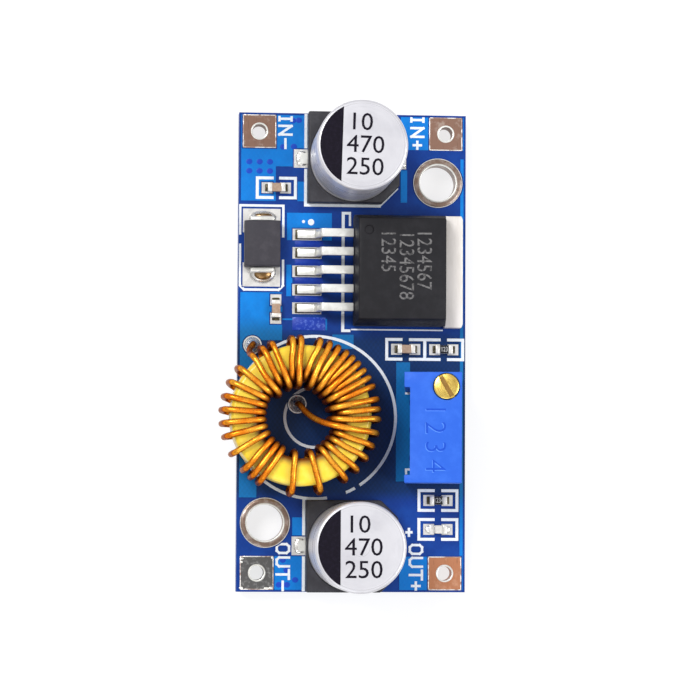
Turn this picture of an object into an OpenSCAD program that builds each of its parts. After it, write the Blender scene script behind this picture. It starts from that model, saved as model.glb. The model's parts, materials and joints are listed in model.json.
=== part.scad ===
// Step-down converter board with two can capacitors, a wound toroid, a power regulator,
// a diode and a multi-turn trimmer. +X is right, +Y is the input end, +Z is the component
// side, and the origin is the board's centre on its underside. Millimetres.

/* [Board] */
// Thickness of the bare board
board_t = 1.6; // [1:0.1:2.4]
// Thickness of the masked copper areas
pour_t = 0.04; // [0.02:0.01:0.06]
// Thickness of the white print
print_t = 0.03; // [0.02:0.01:0.05]
// Thickness of the bare pads and of the plating in the holes
pad_t = 0.06; // [0.04:0.01:0.1]
// Gap between a pad and the copper or the print around it
mask_gap = 0.1; // [0.05:0.01:0.15]
// Height of the plastic bodies above the board
stand_h = 0.12; // [0.1:0.01:0.2]
// From the board's edge to the masked copper and to the print
pour_edge = 0.2; // [0.1:0.05:0.3]
// From a capacitor's base to the masked copper
pour_gap = 0.25; // [0.2:0.05:0.4]
// How far a copper area reaches around the pads that it joins
pour_reach = 0.95; // [0.7:0.05:1.1]
// Width of a narrow copper strip
strip_w = 0.6; // [0.4:0.05:0.8]

/* [Gaps between the parts] */
// From the input capacitor to the regulator
can_reg_gap = 1.08; // [0.9:0.02:1.4]
// From the regulator to the trimmer
reg_trim_gap = 4.49; // [4.3:0.01:5]
// From the trimmer to the output capacitor
trim_can_gap = 1.53; // [1.4:0.01:2]
// From the diode to the tips of the regulator's leads
diode_lead_gap = 1.55; // [1.4:0.05:2]
// From the board's side to the diode
diode_side = 0.4; // [0.35:0.05:0.5]
// From the regulator's centre to the diode's, along Y
diode_shift = 2.38; // [2.3:0.02:2.5]
// From the trimmer's centre to the inductor's, along Y
coil_shift = 1.12; // [1.1:0.01:1.16]
// From the regulator to the middle of the row of chips
row_drop = 1.94; // [1.7:0.02:2.2]

/* [Terminals and mounting holes] */
// Side of a square terminal pad
terminal_pad = 3.05; // [2.6:0.05:3.1]
// Bore of a terminal hole
terminal_hole_d = 1.3; // [0.9:0.1:1.8]
// From the board's side to a terminal pad
terminal_side = 0.35; // [0.3:0.05:0.6]
// From the board's end to a terminal pad
terminal_end = 0.2; // [0.15:0.05:0.3]
// Bore of a mounting hole
mount_hole_d = 3.3; // [2.6:0.1:3.6]
// Outside of the ring around a mounting hole
mount_ring_d = 4.6; // [4.2:0.1:4.8]
// From the board's side to a mounting hole's axis
mount_side = 2.6; // [2.5:0.05:2.7]
// From the board's end to a mounting hole's axis
mount_end = 6.3; // [6.1:0.05:6.4]

/* [Capacitors] */
// Diameter of a can
can_d = 8; // [7:0.1:8.2]
// Top of a can above the board
can_top = 10.4; // [8:0.1:14]
// Round on a can's top edge
can_round = 0.3; // [0.2:0.05:0.6]
// Depth of the crimp around a can's foot
can_crimp = 0.25; // [0.1:0.05:0.4]
// Side of a can's square base
base_side = 8.4; // [8.3:0.05:8.5]
// Height of the base
base_h = 1.7; // [1.3:0.1:2.2]
// Chamfer on the base's two right corners
base_chamfer = 1.6; // [0.8:0.1:2]
// Thickness of the base under the can
base_floor = 0.5; // [0.4:0.1:0.8]
// Clearance between a can and its base
can_gap = 0.05; // [0.02:0.01:0.1]
// Width of a capacitor's lead
can_lead_w = 1.0; // [0.6:0.1:1.4]
// Thickness of a capacitor's lead
can_lead_t = 0.2; // [0.12:0.02:0.3]
// How far a lead shows beyond the base
can_lead_out = 0.7; // [0.4:0.05:0.72]
// Width of a capacitor's pad
can_pad_w = 1.7; // [1.5:0.1:2]
// How far a pad shows beyond the base
can_pad_out = 1.0; // [0.98:0.02:1.1]
// How far the pads sit to the left of the base's centre
can_pad_shift = 0.25; // [0.2:0.01:0.26]
// Length of a capacitor's pad
can_pad_l = 3.8; // [3.5:0.1:3.9]
// From a can's axis to the edge of its black segment
segment_x = 1.7; // [1.2:0.1:2.2]
// How far the ink on the input capacitor is turned clockwise, in degrees
ink_turn = 1.7; // [0:0.1:3]
// Thickness of the ink on a can
ink_t = 0.02; // [0.02:0.01:0.04]
// Width of a figure on a can
figure_w = 0.84; // [0.6:0.02:0.9]
// Height of a figure on a can
figure_h = 1.5; // [1.1:0.05:1.6]
// From the black segment to the figures
figure_in = 0.55; // [0.4:0.05:0.7]
// How far a capacitor's lead reaches under its base
can_lead_in = 2.5; // [1.5:0.1:2.8]

/* [Regulator] */
// Length of the moulded body, along X
reg_l = 8.5; // [8.3:0.1:8.6]
// Width of the moulded body, along Y
reg_w = 10.3; // [10.1:0.1:10.4]
// Height of the moulded body
reg_h = 4.5; // [4:0.1:5.2]
// Height of the body's widest level
reg_split = 2.45; // [2:0.05:2.8]
// How far the body's sides lean in at the top
reg_lean = 0.55; // [0.2:0.05:0.8]
// Distance from the board's side to the tab's end
reg_side = 0.4; // [0.35:0.05:0.5]
// Thickness of the metal tab
tab_t = 1.27; // [1:0.05:1.4]
// How far the tab shows beyond the body
tab_out = 1.7; // [1.4:0.1:1.8]
// Chamfer on the tab's outer corners
tab_chamfer = 0.7; // [0.4:0.1:1]
// How deep the tab reaches into the body
tab_in = 5.2; // [4:0.1:6]
// Spacing of the five leads
lead_pitch = 1.7; // [1.6:0.05:1.75]
// Width of a lead
lead_w = 0.75; // [0.6:0.05:0.85]
// Thickness of a lead
lead_t = 0.45; // [0.35:0.05:0.55]
// How far a lead reaches from the body
lead_out = 5.0; // [4.6:0.1:5.1]
// Length of a lead's flat foot
lead_foot = 1.9; // [1.5:0.1:2.1]
// Height of a lead's underside where it leaves the body
lead_rise = 2.1; // [1.9:0.05:2.4]
// Diameter of the dimple beside the first lead
dimple_d = 0.85; // [0.6:0.05:1]

/* [Diode] */
// Width of the diode's body, along X
diode_w = 3.45; // [3.2:0.05:3.6]
// Length of the diode's body, along Y
diode_l = 4.35; // [4.1:0.05:4.5]
// Height of the diode's body
diode_h = 2.3; // [2:0.1:2.6]
// Width of the diode's leads
diode_lead_w = 2.1; // [1.8:0.1:2.4]
// Thickness of the diode's leads
diode_lead_t = 0.22; // [0.15:0.01:0.25]
// How far the diode's leads stand out
diode_lead_out = 0.42; // [0.36:0.01:0.45]
// Length of a diode's pad
diode_pad_l = 2.2; // [2:0.05:2.3]
// How far the diode's pads show beyond its leads
diode_pad_out = 0.99; // [0.9:0.02:1.02]
// How far the diode sits towards the input end from the middle of its pads
diode_high = 0.23; // [0.1:0.01:0.25]

/* [Inductor] */
// Outside diameter of the core
core_d = 12.7; // [12.5:0.05:12.8]
// Bore of the core
core_bore = 7.7; // [7.6:0.02:7.75]
// Height of the core
core_h = 4.75; // [4.2:0.05:5.2]
// Round on the core's edges
core_round = 0.45; // [0.2:0.05:0.7]
// Diameter of the winding wire
wire_d = 0.56; // [0.4:0.01:0.57]
// Clearance between the wire and the core's flat faces
wire_gap = 0.12; // [0.11:0.01:0.2]
// Centre of the inductor from the board's left side
coil_side = 5.5; // [5.4:0.02:5.56]
// Diameter of a hole for a wire end
wire_hole_d = 0.9; // [0.8:0.05:1]
// Diameter of the ring around a wire end
wire_pad_d = 1.7; // [1.5:0.1:1.8]

/* [Trimmer] */
// Width of the trimmer's body, along X
trim_w = 4.6; // [4.4:0.05:4.7]
// Length of the trimmer's body, along Y
trim_l = 9.8; // [9.6:0.05:9.9]
// Top of the trimmer above the board
trim_top = 10.1; // [9.6:0.1:11]
// From the board's right side to the trimmer's foot
trim_side = 0.46; // [0.4:0.02:0.54]
// How far the trimmer leans to the left, in degrees
trim_lean = 6.5; // [0:0.5:7]
// How far the trimmer's end ribs stand out
rib_out = 0.5; // [0.3:0.05:0.55]
// Thickness of the trimmer's walls
trim_wall = 0.4; // [0.35:0.05:0.45]
// Diameter of the adjusting screw's head
screw_d = 2.25; // [2:0.05:2.3]
// How far the screw stands above the trimmer
screw_proud = 0.3; // [0.1:0.05:0.5]
// Width of the screw's slot
slot_w = 0.4; // [0.3:0.05:0.6]
// Depth of the screw's slot
slot_depth = 0.5; // [0.3:0.05:0.7]
// Diameter of the worm below the screw's head
worm_d = 1.6; // [1.4:0.05:1.65]
// Running clearance around the screw and the rotor's bore
run_gap = 0.06; // [0.04:0.01:0.1]
// Teeth on the trimmer's rotor
rotor_teeth = 30; // [24:1:36]
// Diameter of the rotor
rotor_d = 6.3; // [5.8:0.1:6.4]
// Spacing of the trimmer's pins
pin_pitch = 2.54; // [2.4:0.02:2.6]
// Diameter of a trimmer pin
pin_d = 0.5; // [0.4:0.05:0.55]
// Diameter of a hole for a trimmer pin
pin_hole_d = 0.85; // [0.75:0.05:1]
// Diameter of the ring around a trimmer pin
pin_pad_d = 1.6; // [1.4:0.1:1.8]

/* [Small chips] */
// Length of a chip part
chip_l = 1.6; // [1.4:0.05:1.7]
// Width of a chip part
chip_w = 0.82; // [0.7:0.02:0.9]
// Height of a chip capacitor
chip_h = 0.8; // [0.6:0.05:0.9]
// Height of a chip resistor
resistor_h = 0.45; // [0.35:0.05:0.6]
// Length of a chip's metal end
chip_end = 0.38; // [0.3:0.02:0.45]
// Length of a chip's pad
chip_pad_l = 1.0; // [0.9:0.05:1.1]
// Width of a chip's pad
chip_pad_w = 1.0; // [0.9:0.05:1.1]

/* [Print] */
// Width of a printed line
line_w = 0.27; // [0.2:0.01:0.3]
// Width of a thin printed line and of a letter's strokes
thin_w = 0.22; // [0.18:0.01:0.25]
// From a chip's pads to the outside of its printed frame
frame_gap = 0.54; // [0.45:0.01:0.56]
// From the inductor's core to the printed circles beside its edges
circle_gap = 1.1; // [0.9:0.05:1.3]
// How far the printed circles stand to the right of the inductor
circle_shift = 1.6; // [1.2:0.1:1.8]
// Width of a printed letter
letter_w = 0.8; // [0.7:0.02:0.84]
// Height of a printed letter
letter_h = 1.12; // [0.9:0.02:1.15]

/* [Solder] */
// How far the wire ends and pins reach below the board
tail = 0.95; // [0.9:0.05:1.4]
// Height of a solder joint
joint_h = 0.75; // [0.5:0.05:0.85]

/* [Hidden] */
$fn = 64;

// The board's width and length follow from the parts in a row and the gaps between them
board_w = diode_side + diode_w + diode_lead_gap + lead_out + reg_l + tab_out + reg_side;
board_l = 2 * base_side + can_reg_gap + reg_w + reg_trim_gap + trim_l + trim_can_gap;
left = -board_w / 2;
right = board_w / 2;
far = board_l / 2;
near = -board_l / 2;
top = board_t;
pad_top = top + pad_t;
through = 3 * board_t;

// Terminals and mounting holes
terminal_x = right - terminal_side - terminal_pad / 2;
terminal_y = far - terminal_end - terminal_pad / 2;
mount_x = right - mount_side;
mount_y = far - mount_end;

// Capacitors, flush with the board's ends
can_y = far - base_side / 2;
base_left = -base_side / 2;
base_right = base_side / 2;
base_low = far - base_side;
can_foot = stand_h + base_floor + can_gap;

// Regulator
tab_end = right - reg_side;
reg_right = tab_end - tab_out;
reg_left = reg_right - reg_l;
reg_y = base_low - can_reg_gap - reg_w / 2;
lead_tip = reg_left - lead_out;
reg_pads = [for (k = [-2:2]) reg_y + k * lead_pitch];
reg_pad_w = lead_w + 0.3;

// Diode
diode_x = left + diode_side + diode_w / 2;
diode_y = reg_y + diode_shift;
diode_pad_y = diode_l / 2 + diode_lead_out + diode_pad_out - diode_pad_l / 2;

// Inductor
coil_x = left + coil_side;
coil_y = near + base_side + trim_can_gap + trim_l / 2 + coil_shift;
coil_pad_a = [-4.15, 6.6];
coil_pad_b = [0, 1.2];
wire_r = wire_d / 2;
core_low = top + 0.13 + wire_d + 0.42 + wire_gap;
core_top = core_low + core_h;
wire_over = core_top + wire_gap + wire_r;
wire_under = core_low - wire_gap - wire_r;
wire_out = core_d / 2 + 0.34 + wire_r;
wire_in = [core_bore / 2 - 0.17 - wire_r, core_bore / 2 - 0.79 - wire_r];
wire_lift = [0, 0.38];
wire_drop = [0, 0.42];
// Each turn of the winding: its angle in the bore, its angle outside, and its layer
turns = [
    [4, 5, 0], [22, 22.5, 0], [37, 36, 0], [50.5, 48.5, 0], [64.5, 61.5, 0], [84, 76, 0],
    [104, 97, 0], [124, 120.5, 0], [144.5, 143, 0], [155, 155, 0], [165.5, 166, 0],
    [176, 176, 0], [186.5, 186, 0], [197, 196, 0], [208, 209.5, 0], [220, 224, 0],
    [230.5, 231.5, 0], [241, 238.5, 0], [261, 263, 0], [284, 284.5, 0], [301, 305, 0],
    [312, 316, 0], [323, 327, 0], [334, 337, 0],
    [354, 357.5, 1], [373, 372.5, 1], [389.5, 389.5, 1], [403.5, 402.5, 1], [417, 414.5, 1],
    [433, 428.5, 1], [454.5, 450.5, 1], [473, 472.5, 1], [496, 490, 1]
];

// Trimmer
trim_right = right - trim_side;
trim_left = trim_right - trim_w;
trim_y = near + base_side + trim_can_gap + trim_l / 2;
trim_far = trim_y + trim_l / 2;
trim_near = trim_y - trim_l / 2;
trim_low = top + 0.35;
trim_high = top + trim_top;
roof_t = 1.6;
roof_low = trim_high - roof_t;
potting_t = 1.1;
cavity_low = trim_low + potting_t;
screw_x = trim_right - screw_d / 2 - 0.25;
screw_y = trim_far - screw_d / 2 - run_gap - 0.1;
screw_bore = screw_d + 2 * run_gap;
head_low = trim_high - 0.7;
neck_d = 1.4;
seal_t = (screw_d - neck_d) / 2;
neck_low = roof_low + 0.35;
worm_low = cavity_low + 0.7;
journal_d = 1.0;
journal_low = cavity_low - 0.5;
rotor_x = screw_x;
rotor_y = screw_y - worm_d / 2 - rotor_d / 2 - 0.1;
rotor_z = (cavity_low + roof_low) / 2;
rotor_t = 1.5;
axle_d = 1.2;
wall_in = trim_right - trim_wall;
element_t = 0.7;
element_left = trim_left + trim_wall + 0.05;
element_right = element_left + element_t;
element_low = cavity_low + 0.3;
element_high = roof_low - 0.4;
pin_x = element_left + element_t / 2;
track_t = 0.04;
track_r = 2.1;
// The trimmer is drawn upright and leans about its left foot's lower edge; its pins bend
// just below it and go straight down through the board
foot_low = top + pour_t + print_t;
function lean_at(x, z) = [
    trim_left + (x - trim_left) * cos(trim_lean) - (z - foot_low) * sin(trim_lean),
    foot_low + (x - trim_left) * sin(trim_lean) + (z - foot_low) * cos(trim_lean)
];
bend_low = trim_low - 0.15;
pin_bend = lean_at(pin_x, bend_low);
pin_rows = [for (k = [-1:1]) trim_y + k * pin_pitch];
trim_edge = lean_at(trim_left, trim_high)[0];

// Small chips: centre of each on the board
row_y = reg_y - reg_w / 2 - row_drop;
input_chip = [base_left - 2.85, can_y - 2.75];
boost_chip = [lead_tip - 1.93, reg_y - 3.5];
filter_chip = [right - 5.53, row_y];
feedback_chip = [right - 2.0, row_y];
lamp_chip = [right - 2.5, -can_y + 4.2];
led_chip = [right - 2.5, -can_y + 1.55];
frame_l = chip_l / 2 + 0.05 + chip_pad_l / 2 + frame_gap;
frame_w = chip_pad_w / 2 + frame_gap;

// Through holes: [place, hole diameter, ring diameter]
through_holes = [
    [[coil_x + coil_pad_a[0], coil_y + coil_pad_a[1]], wire_hole_d, wire_pad_d],
    [[coil_x + coil_pad_b[0], coil_y + coil_pad_b[1]], wire_hole_d, wire_pad_d],
    for (y = pin_rows) [[pin_bend[0], y], pin_hole_d, pin_pad_d]
];

copper = [0.72, 0.66, 0.6];
tin = [0.8, 0.8, 0.8];
black = [0.13, 0.13, 0.14];

// ---- helpers ----

// Flat box from corner a to corner b
module slab(a, b) {
    translate(a) cube(b - a);
}

// Flat rectangle from corner a to corner b
module patch(a, b) {
    translate(a) square(b - a);
}

// Straight stroke of width w from p to q
module stroke(p, q, w) {
    d = q - p;
    translate(p) rotate(atan2(d[1], d[0])) translate([-w / 2, -w / 2]) square([norm(d) + w, w]);
}

// Strokes of one character, in a cell one wide and one high
function glyph(c) =
    c == "0" ? [[[.25, 0], [.75, 0], [1, .2], [1, .8], [.75, 1], [.25, 1], [0, .8], [0, .2], [.25, 0]]] :
    c == "1" ? [[[.2, .8], [.5, 1], [.5, 0]]] :
    c == "2" ? [[[0, .8], [.25, 1], [.75, 1], [1, .8], [1, .6], [0, 0], [1, 0]]] :
    c == "4" ? [[[.75, 0], [.75, 1], [0, .3], [1, .3]]] :
    c == "5" ? [[[.95, 1], [.1, 1], [.05, .55], [.7, .6], [1, .4], [1, .2], [.75, 0], [.25, 0], [0, .15]]] :
    c == "7" ? [[[0, 1], [1, 1], [.35, 0]]] :
    c == "I" ? [[[.5, 0], [.5, 1]], [[.32, 0], [.68, 0]], [[.32, 1], [.68, 1]]] :
    c == "N" ? [[[0, 0], [0, 1], [1, 0], [1, 1]]] :
    c == "O" ? [[[.25, 0], [.75, 0], [1, .2], [1, .8], [.75, 1], [.25, 1], [0, .8], [0, .2], [.25, 0]]] :
    c == "U" ? [[[0, 1], [0, .2], [.25, 0], [.75, 0], [1, .2], [1, 1]]] :
    c == "T" ? [[[0, 1], [1, 1]], [[.5, 1], [.5, 0]]] :
    c == "+" ? [[[.1, .5], [.9, .5]], [[.5, .2], [.5, .8]]] :
    c == "-" ? [[[0, .5], [1, .5]]] : [];

// One line of characters, each in a cell of cell_w by cell_h
module label(word, cell_w, cell_h, pitch, w) {
    for (k = [0:len(word) - 1])
        for (run = glyph(word[k]))
            for (j = [0:len(run) - 2])
                stroke(
                    [k * pitch + run[j][0] * cell_w, run[j][1] * cell_h],
                    [k * pitch + run[j + 1][0] * cell_w, run[j + 1][1] * cell_h], w);
}

// Plated hole: a ring on each face and the barrel between them
module plated_ring(p, hole_d, ring_d) {
    translate([p[0], p[1], -pad_t]) difference() {
        union() {
            cylinder(d = ring_d, h = pad_t);
            cylinder(d = hole_d + 2 * pad_t, h = board_t + 2 * pad_t);
            translate([0, 0, board_t + pad_t]) cylinder(d = ring_d, h = pad_t);
        }
        translate([0, 0, -1]) cylinder(d = hole_d, h = board_t + 2 * pad_t + 2);
    }
}

// Square plated terminal pad
module terminal(p) {
    s = terminal_pad / 2;
    difference() {
        union() {
            slab([p[0] - s, p[1] - s, -pad_t], [p[0] + s, p[1] + s, 0]);
            translate([p[0], p[1], -pad_t])
                cylinder(d = terminal_hole_d + 2 * pad_t, h = board_t + 2 * pad_t);
            slab([p[0] - s, p[1] - s, top], [p[0] + s, p[1] + s, pad_top]);
        }
        translate([p[0], p[1], -pad_t - 1]) cylinder(d = terminal_hole_d, h = board_t + 2 * pad_t + 2);
    }
}

// ---- board ----

// Outlines of the bare pads under the surface parts, grown by a gap
module pad_shapes(grow = 0) {
    g = [grow, grow];
    for (y = reg_pads)
        patch([lead_tip - 0.42, y - reg_pad_w / 2] - g, [lead_tip + lead_foot + 0.35, y + reg_pad_w / 2] + g);
    patch([reg_right - tab_in - 0.3, reg_y - reg_w / 2 + 0.2] - g, [tab_end, reg_y + reg_w / 2 - 0.2] + g);
    for (s = [-1, 1]) {
        translate([diode_x, diode_y - diode_high + s * diode_pad_y])
            patch([-diode_w / 2, -diode_pad_l / 2] - g, [diode_w / 2, diode_pad_l / 2] + g);
        for (e = [-1, 1])
            translate([e * (base_side / 2 + can_pad_out - can_pad_l / 2) - can_pad_shift, s * can_y])
                patch([-can_pad_l / 2, -can_pad_w / 2] - g, [can_pad_l / 2, can_pad_w / 2] + g);
        for (c = [input_chip, filter_chip, feedback_chip, lamp_chip, led_chip])
            translate([c[0] + s * (chip_l / 2 + 0.05), c[1]])
                patch([-chip_pad_l / 2, -chip_pad_w / 2] - g, [chip_pad_l / 2, chip_pad_w / 2] + g);
        translate([boost_chip[0], boost_chip[1] + s * (chip_l / 2 + 0.05)])
            patch([-chip_pad_w / 2, -chip_pad_l / 2] - g, [chip_pad_w / 2, chip_pad_l / 2] + g);
    }
}

// Outlines of the plated pads that go through the board, grown by a gap
module plated_shapes(grow = 0) {
    s = terminal_pad / 2 + grow;
    for (i = [-1, 1], j = [-1, 1])
        translate([i * terminal_x, j * terminal_y]) patch([-s, -s], [s, s]);
    for (i = [-1, 1])
        translate([i * mount_x, i * mount_y]) circle(d = mount_ring_d + 2 * grow);
    for (h = through_holes)
        translate(h[0]) circle(d = h[2] + 2 * grow);
}

module circuit_board() {
    color([0.03, 0.2, 0.5]) difference() {
        slab([left, near, 0], [right, far, top]);
        for (i = [-1, 1], j = [-1, 1])
            translate([i * terminal_x, j * terminal_y, -board_t])
                cylinder(d = terminal_hole_d + 2 * pad_t, h = through);
        for (i = [-1, 1])
            translate([i * mount_x, i * mount_y, -board_t])
                cylinder(d = mount_hole_d + 2 * pad_t, h = through);
        for (h = through_holes)
            translate([h[0][0], h[0][1], -board_t]) cylinder(d = h[1] + 2 * pad_t, h = through);
    }
}

module copper_areas() {
    edge = [pour_edge, pour_edge];
    pad_in = terminal_x - terminal_pad / 2;
    pad_low = terminal_y - terminal_pad / 2;
    low = base_low + pour_gap;
    out_l = base_left - pour_gap;
    out_r = base_right + pour_gap;
    coil_far = coil_y + core_d / 2 + circle_gap;
    color([0.05, 0.5, 0.85]) translate([0, 0, top]) linear_extrude(pour_t) difference() {
        union() {
            // input minus, along the left side
            patch([left + pour_edge, low], [-pad_in, far - pour_edge]);
            patch([-pad_in - 0.1, can_y - can_pad_w / 2 + 0.1], [out_l, far - pour_edge]);
            patch([lead_tip, low], [out_l, input_chip[1] + frame_w - 0.43]);
            // input plus, at the far right corner
            patch([out_r, pad_low], [right, far] - edge);
            patch([out_r, low], [out_r + strip_w, pad_low + 0.1]);
            // around the first lead
            patch([lead_tip - pour_reach, reg_pads[4] - reg_pad_w / 2],
                [lead_tip + lead_foot + 1.3, reg_y + reg_w / 2 + pour_gap]);
            // between the diode and the inductor, and on down the left side
            patch([left + pour_edge, coil_far - 0.4], [boost_chip[0] + strip_w, diode_y - diode_l]);
            patch([left + pour_edge, coil_y - core_d / 2 - pour_reach], [left + 1.6, coil_far]);
            patch([boost_chip[0], reg_pads[0] - lead_pitch + strip_w], [lead_tip, reg_pads[0] - pour_reach]);
            patch([boost_chip[0] + pour_reach, reg_pads[1] - strip_w],
                [lead_tip - 0.42, reg_pads[2] + strip_w]);
            // beside the last lead
            patch([lead_tip - 0.4, reg_pads[0] - lead_pitch - strip_w / 2],
                [lead_tip + lead_foot + 0.9, reg_pads[0] - pour_reach]);
            patch([coil_x + circle_gap + strip_w * 3.5, row_y], [coil_x + core_d / 2 - 1.2, row_y + 1.3]);
            // output plus, beside the trimmer and at the near right corner
            patch([trim_edge - 0.2, trim_near + 0.2], [trim_edge + strip_w * 1.8, trim_far + 1.35]);
            patch([out_r, near + pour_edge], [right - pour_edge, -pad_low]);
            // output minus, at the near left corner
            patch([-pad_in - 0.2, near + pour_edge], [out_l, -pad_low]);
            patch([lead_tip - 0.3, -pad_low - 0.1], [out_l, -mount_y + 0.5]);
            patch([left + pour_edge, -mount_y + mount_ring_d / 2],
                [left + 1.8, coil_y - core_d / 2 + circle_gap]);
            // along the right side
            patch([right - 0.5, -pad_low - 0.8], [right - pour_edge, pad_low - 0.8]);
        }
        pad_shapes(mask_gap);
        plated_shapes(mask_gap);
    }
}

// Frame around a chip, open in the middle of its two long sides
module chip_frame(c, half_l, half_w, gap_l) {
    difference() {
        patch(c - [half_l, half_w], c + [half_l, half_w]);
        patch(c - [half_l - line_w, half_w - line_w], c + [half_l - line_w, half_w - line_w]);
        patch(c - [gap_l / 2, half_w + 1], c + [gap_l / 2, half_w + 1]);
    }
}

// Ring of a printed circle
module line_ring(r) {
    difference() {
        circle(r = r + line_w / 2, $fn = 128);
        circle(r = r - line_w / 2, $fn = 128);
    }
}

module board_print() {
    color("white") translate([0, 0, top + pour_t]) linear_extrude(print_t) difference() {
        intersection() {
            patch([left, near] + [0.05, 0.05], [right, far] - [0.05, 0.05]);
            print_shapes();
        }
        pad_shapes(mask_gap);
        plated_shapes(mask_gap);
    }
}

// Outlines of everything printed on the board
module print_shapes() {
    base_edge = base_left - 0.02;
    // input capacitor: left side, near side and cut corner
    patch([base_edge - line_w, can_y - base_side / 2 - 0.1], [base_edge, far]);
    patch([base_edge - line_w, can_y - base_side / 2 - 0.1 - line_w / 2],
        [base_side / 2 - base_chamfer, can_y - base_side / 2 - 0.1 + line_w / 2]);
    stroke([base_side / 2 - base_chamfer - 0.1, can_y - base_side / 2 - 0.12],
        [base_side / 2 - 0.1, can_y - base_side / 2 + base_chamfer - 0.1], line_w * 0.7);
    // output capacitor: left side
    patch([base_edge - line_w, near], [base_edge, -can_y + base_side / 2 + 0.2]);
    // regulator: left side with a hook, and its near side
    patch([reg_left - 0.9, reg_y - reg_w / 2 - 0.4], [reg_left - 0.62, reg_y + reg_w / 2 + 0.4]);
    patch([reg_left - 0.9, reg_y + reg_w / 2 + 0.15], [reg_left - 0.08, reg_y + reg_w / 2 + 0.4]);
    patch([reg_left - 0.24, reg_y + reg_w / 2 - 0.9], [reg_left - 0.04, reg_y + reg_w / 2 + 0.4]);
    patch([reg_left - 0.9, reg_y - reg_w / 2 - 0.4], [reg_left - 0.05, reg_y - reg_w / 2 - 0.15]);
    patch([reg_left, reg_y - reg_w / 2 - 0.22], [reg_right, reg_y - reg_w / 2 - 0.1]);
    // dots beside the first lead
    translate([lead_tip + 1.27, reg_pads[4] + 1.15]) circle(d = 0.58);
    translate([lead_tip + 0.57, reg_pads[4] + 1.2]) circle(d = 0.28);
    // diode: frame open at the sides' middles, with the near corners cut
    diode_frame();
    // chips
    chip_frame(input_chip, frame_l, frame_w, 0.5);
    chip_frame(filter_chip, frame_l, frame_w, 0.6);
    chip_frame(feedback_chip, frame_l, frame_w, 0.6);
    chip_frame(lamp_chip, frame_l, frame_w, 0.6);
    chip_frame(led_chip, frame_l, frame_w, 0.6);
    translate([right - 5.55, led_chip[1] + 0.1]) rotate(-90)
        label("+", 0.75, 0.75, 1, line_w * 0.85);
    // inductor: two circles beside its centre
    translate([coil_x + circle_shift, coil_y]) {
        difference() {
            line_ring(core_d / 2 + circle_gap);
            rotate(-74) patch([6, -0.9], [9, 0.9]);
            rotate(-58) patch([6, -0.25], [9, 0.25]);
        }
        line_ring(core_bore / 2 - circle_gap);
    }
    // trimmer: hooks at the corners of its left side
    patch([trim_left - 0.5, trim_far - 1.6], [trim_left + 0.1, trim_far - 1.4]);
    patch([trim_left - 0.5, trim_near + 1.2], [trim_left + 0.1, trim_near + 1.4]);
    patch([trim_left - 0.5, trim_near + 0.85], [trim_left - 0.3, trim_near + 1.4]);
    // terminals
    pad_in = terminal_x - terminal_pad / 2;
    terminal_label("IN-", -pad_in + 0.3, far - 0.14, [0, 1.06, 2.3]);
    terminal_label("IN+", pad_in - 1.68, far - 0.05, [0, 1.16, 2.35]);
    terminal_label("OUT-", -pad_in + 0.3, near + 4.35, [0, 1.22, 2.36, 3.42]);
    terminal_label("OUT+", pad_in - 1.68, near + 4.31, [0, 1.18, 2.34, 3.34]);
}

// Word that reads towards the output end, with its letters' tops to the right
module terminal_label(word, x, y, starts) {
    for (k = [0:len(word) - 1])
        translate([x, y - starts[k]]) rotate(-90) label(word[k], letter_w, letter_h, 1, thin_w);
}

// Frame around the diode, open at the middle of each long side, with its near corners cut
module diode_frame() {
    half_w = diode_w / 2 + diode_side - 0.03;
    half_l = diode_pad_y + diode_pad_l / 2 + 0.4;
    cut = 0.45;
    w = thin_w;
    translate([diode_x, diode_y - diode_high]) {
        difference() {
            patch([-half_w, -half_l], [half_w, half_l]);
            patch([-half_w + w, -half_l + w], [half_w - w, half_l - w]);
            patch([0, -diode_l * 0.25], [half_w + 1, diode_l * 0.22]);
            patch([-half_w - 1, diode_l * 0.08], [0, diode_l * 0.27]);
            for (s = [-1, 1])
                translate([s * half_w, -half_l]) rotate(45) square(cut * 1.414, center = true);
        }
        for (s = [-1, 1])
            stroke([s * (half_w - cut - w / 4), -half_l + w / 2],
                [s * (half_w - w / 2), -half_l + cut + w / 4], w);
    }
}

module pad_input_minus() { color(copper) terminal([-terminal_x, terminal_y]); }
module pad_input_plus() { color(copper) terminal([terminal_x, terminal_y]); }
module pad_output_minus() { color([0.5, 0.5, 0.5]) terminal([-terminal_x, -terminal_y]); }
module pad_output_plus() { color([0.75, 0.45, 0.3]) terminal([terminal_x, -terminal_y]); }
module mounting_ring_input() { color(tin) plated_ring([mount_x, mount_y], mount_hole_d, mount_ring_d); }
module mounting_ring_output() { color(tin) plated_ring([-mount_x, -mount_y], mount_hole_d, mount_ring_d); }

module surface_pads() {
    color(tin) translate([0, 0, top]) linear_extrude(pad_t) pad_shapes();
}

module through_hole_pads() {
    color(tin) for (h = through_holes) plated_ring(h[0], h[1], h[2]);
}

// Solder around each wire end and pin, under the board
module solder_joints() {
    color(tin) for (k = [0:len(through_holes) - 1]) {
        h = through_holes[k];
        core = (k < 2 ? wire_d : pin_d) + 0.04;
        translate([h[0][0], h[0][1], -pad_t]) rotate_extrude() polygon([
            [core / 2, 0], [h[2] / 2 - 0.1, 0], [h[2] / 2 * 0.62, -joint_h * 0.45],
            [core / 2 + 0.12, -joint_h], [core / 2, -joint_h]
        ]);
    }
}

// ---- capacitors ----

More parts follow.
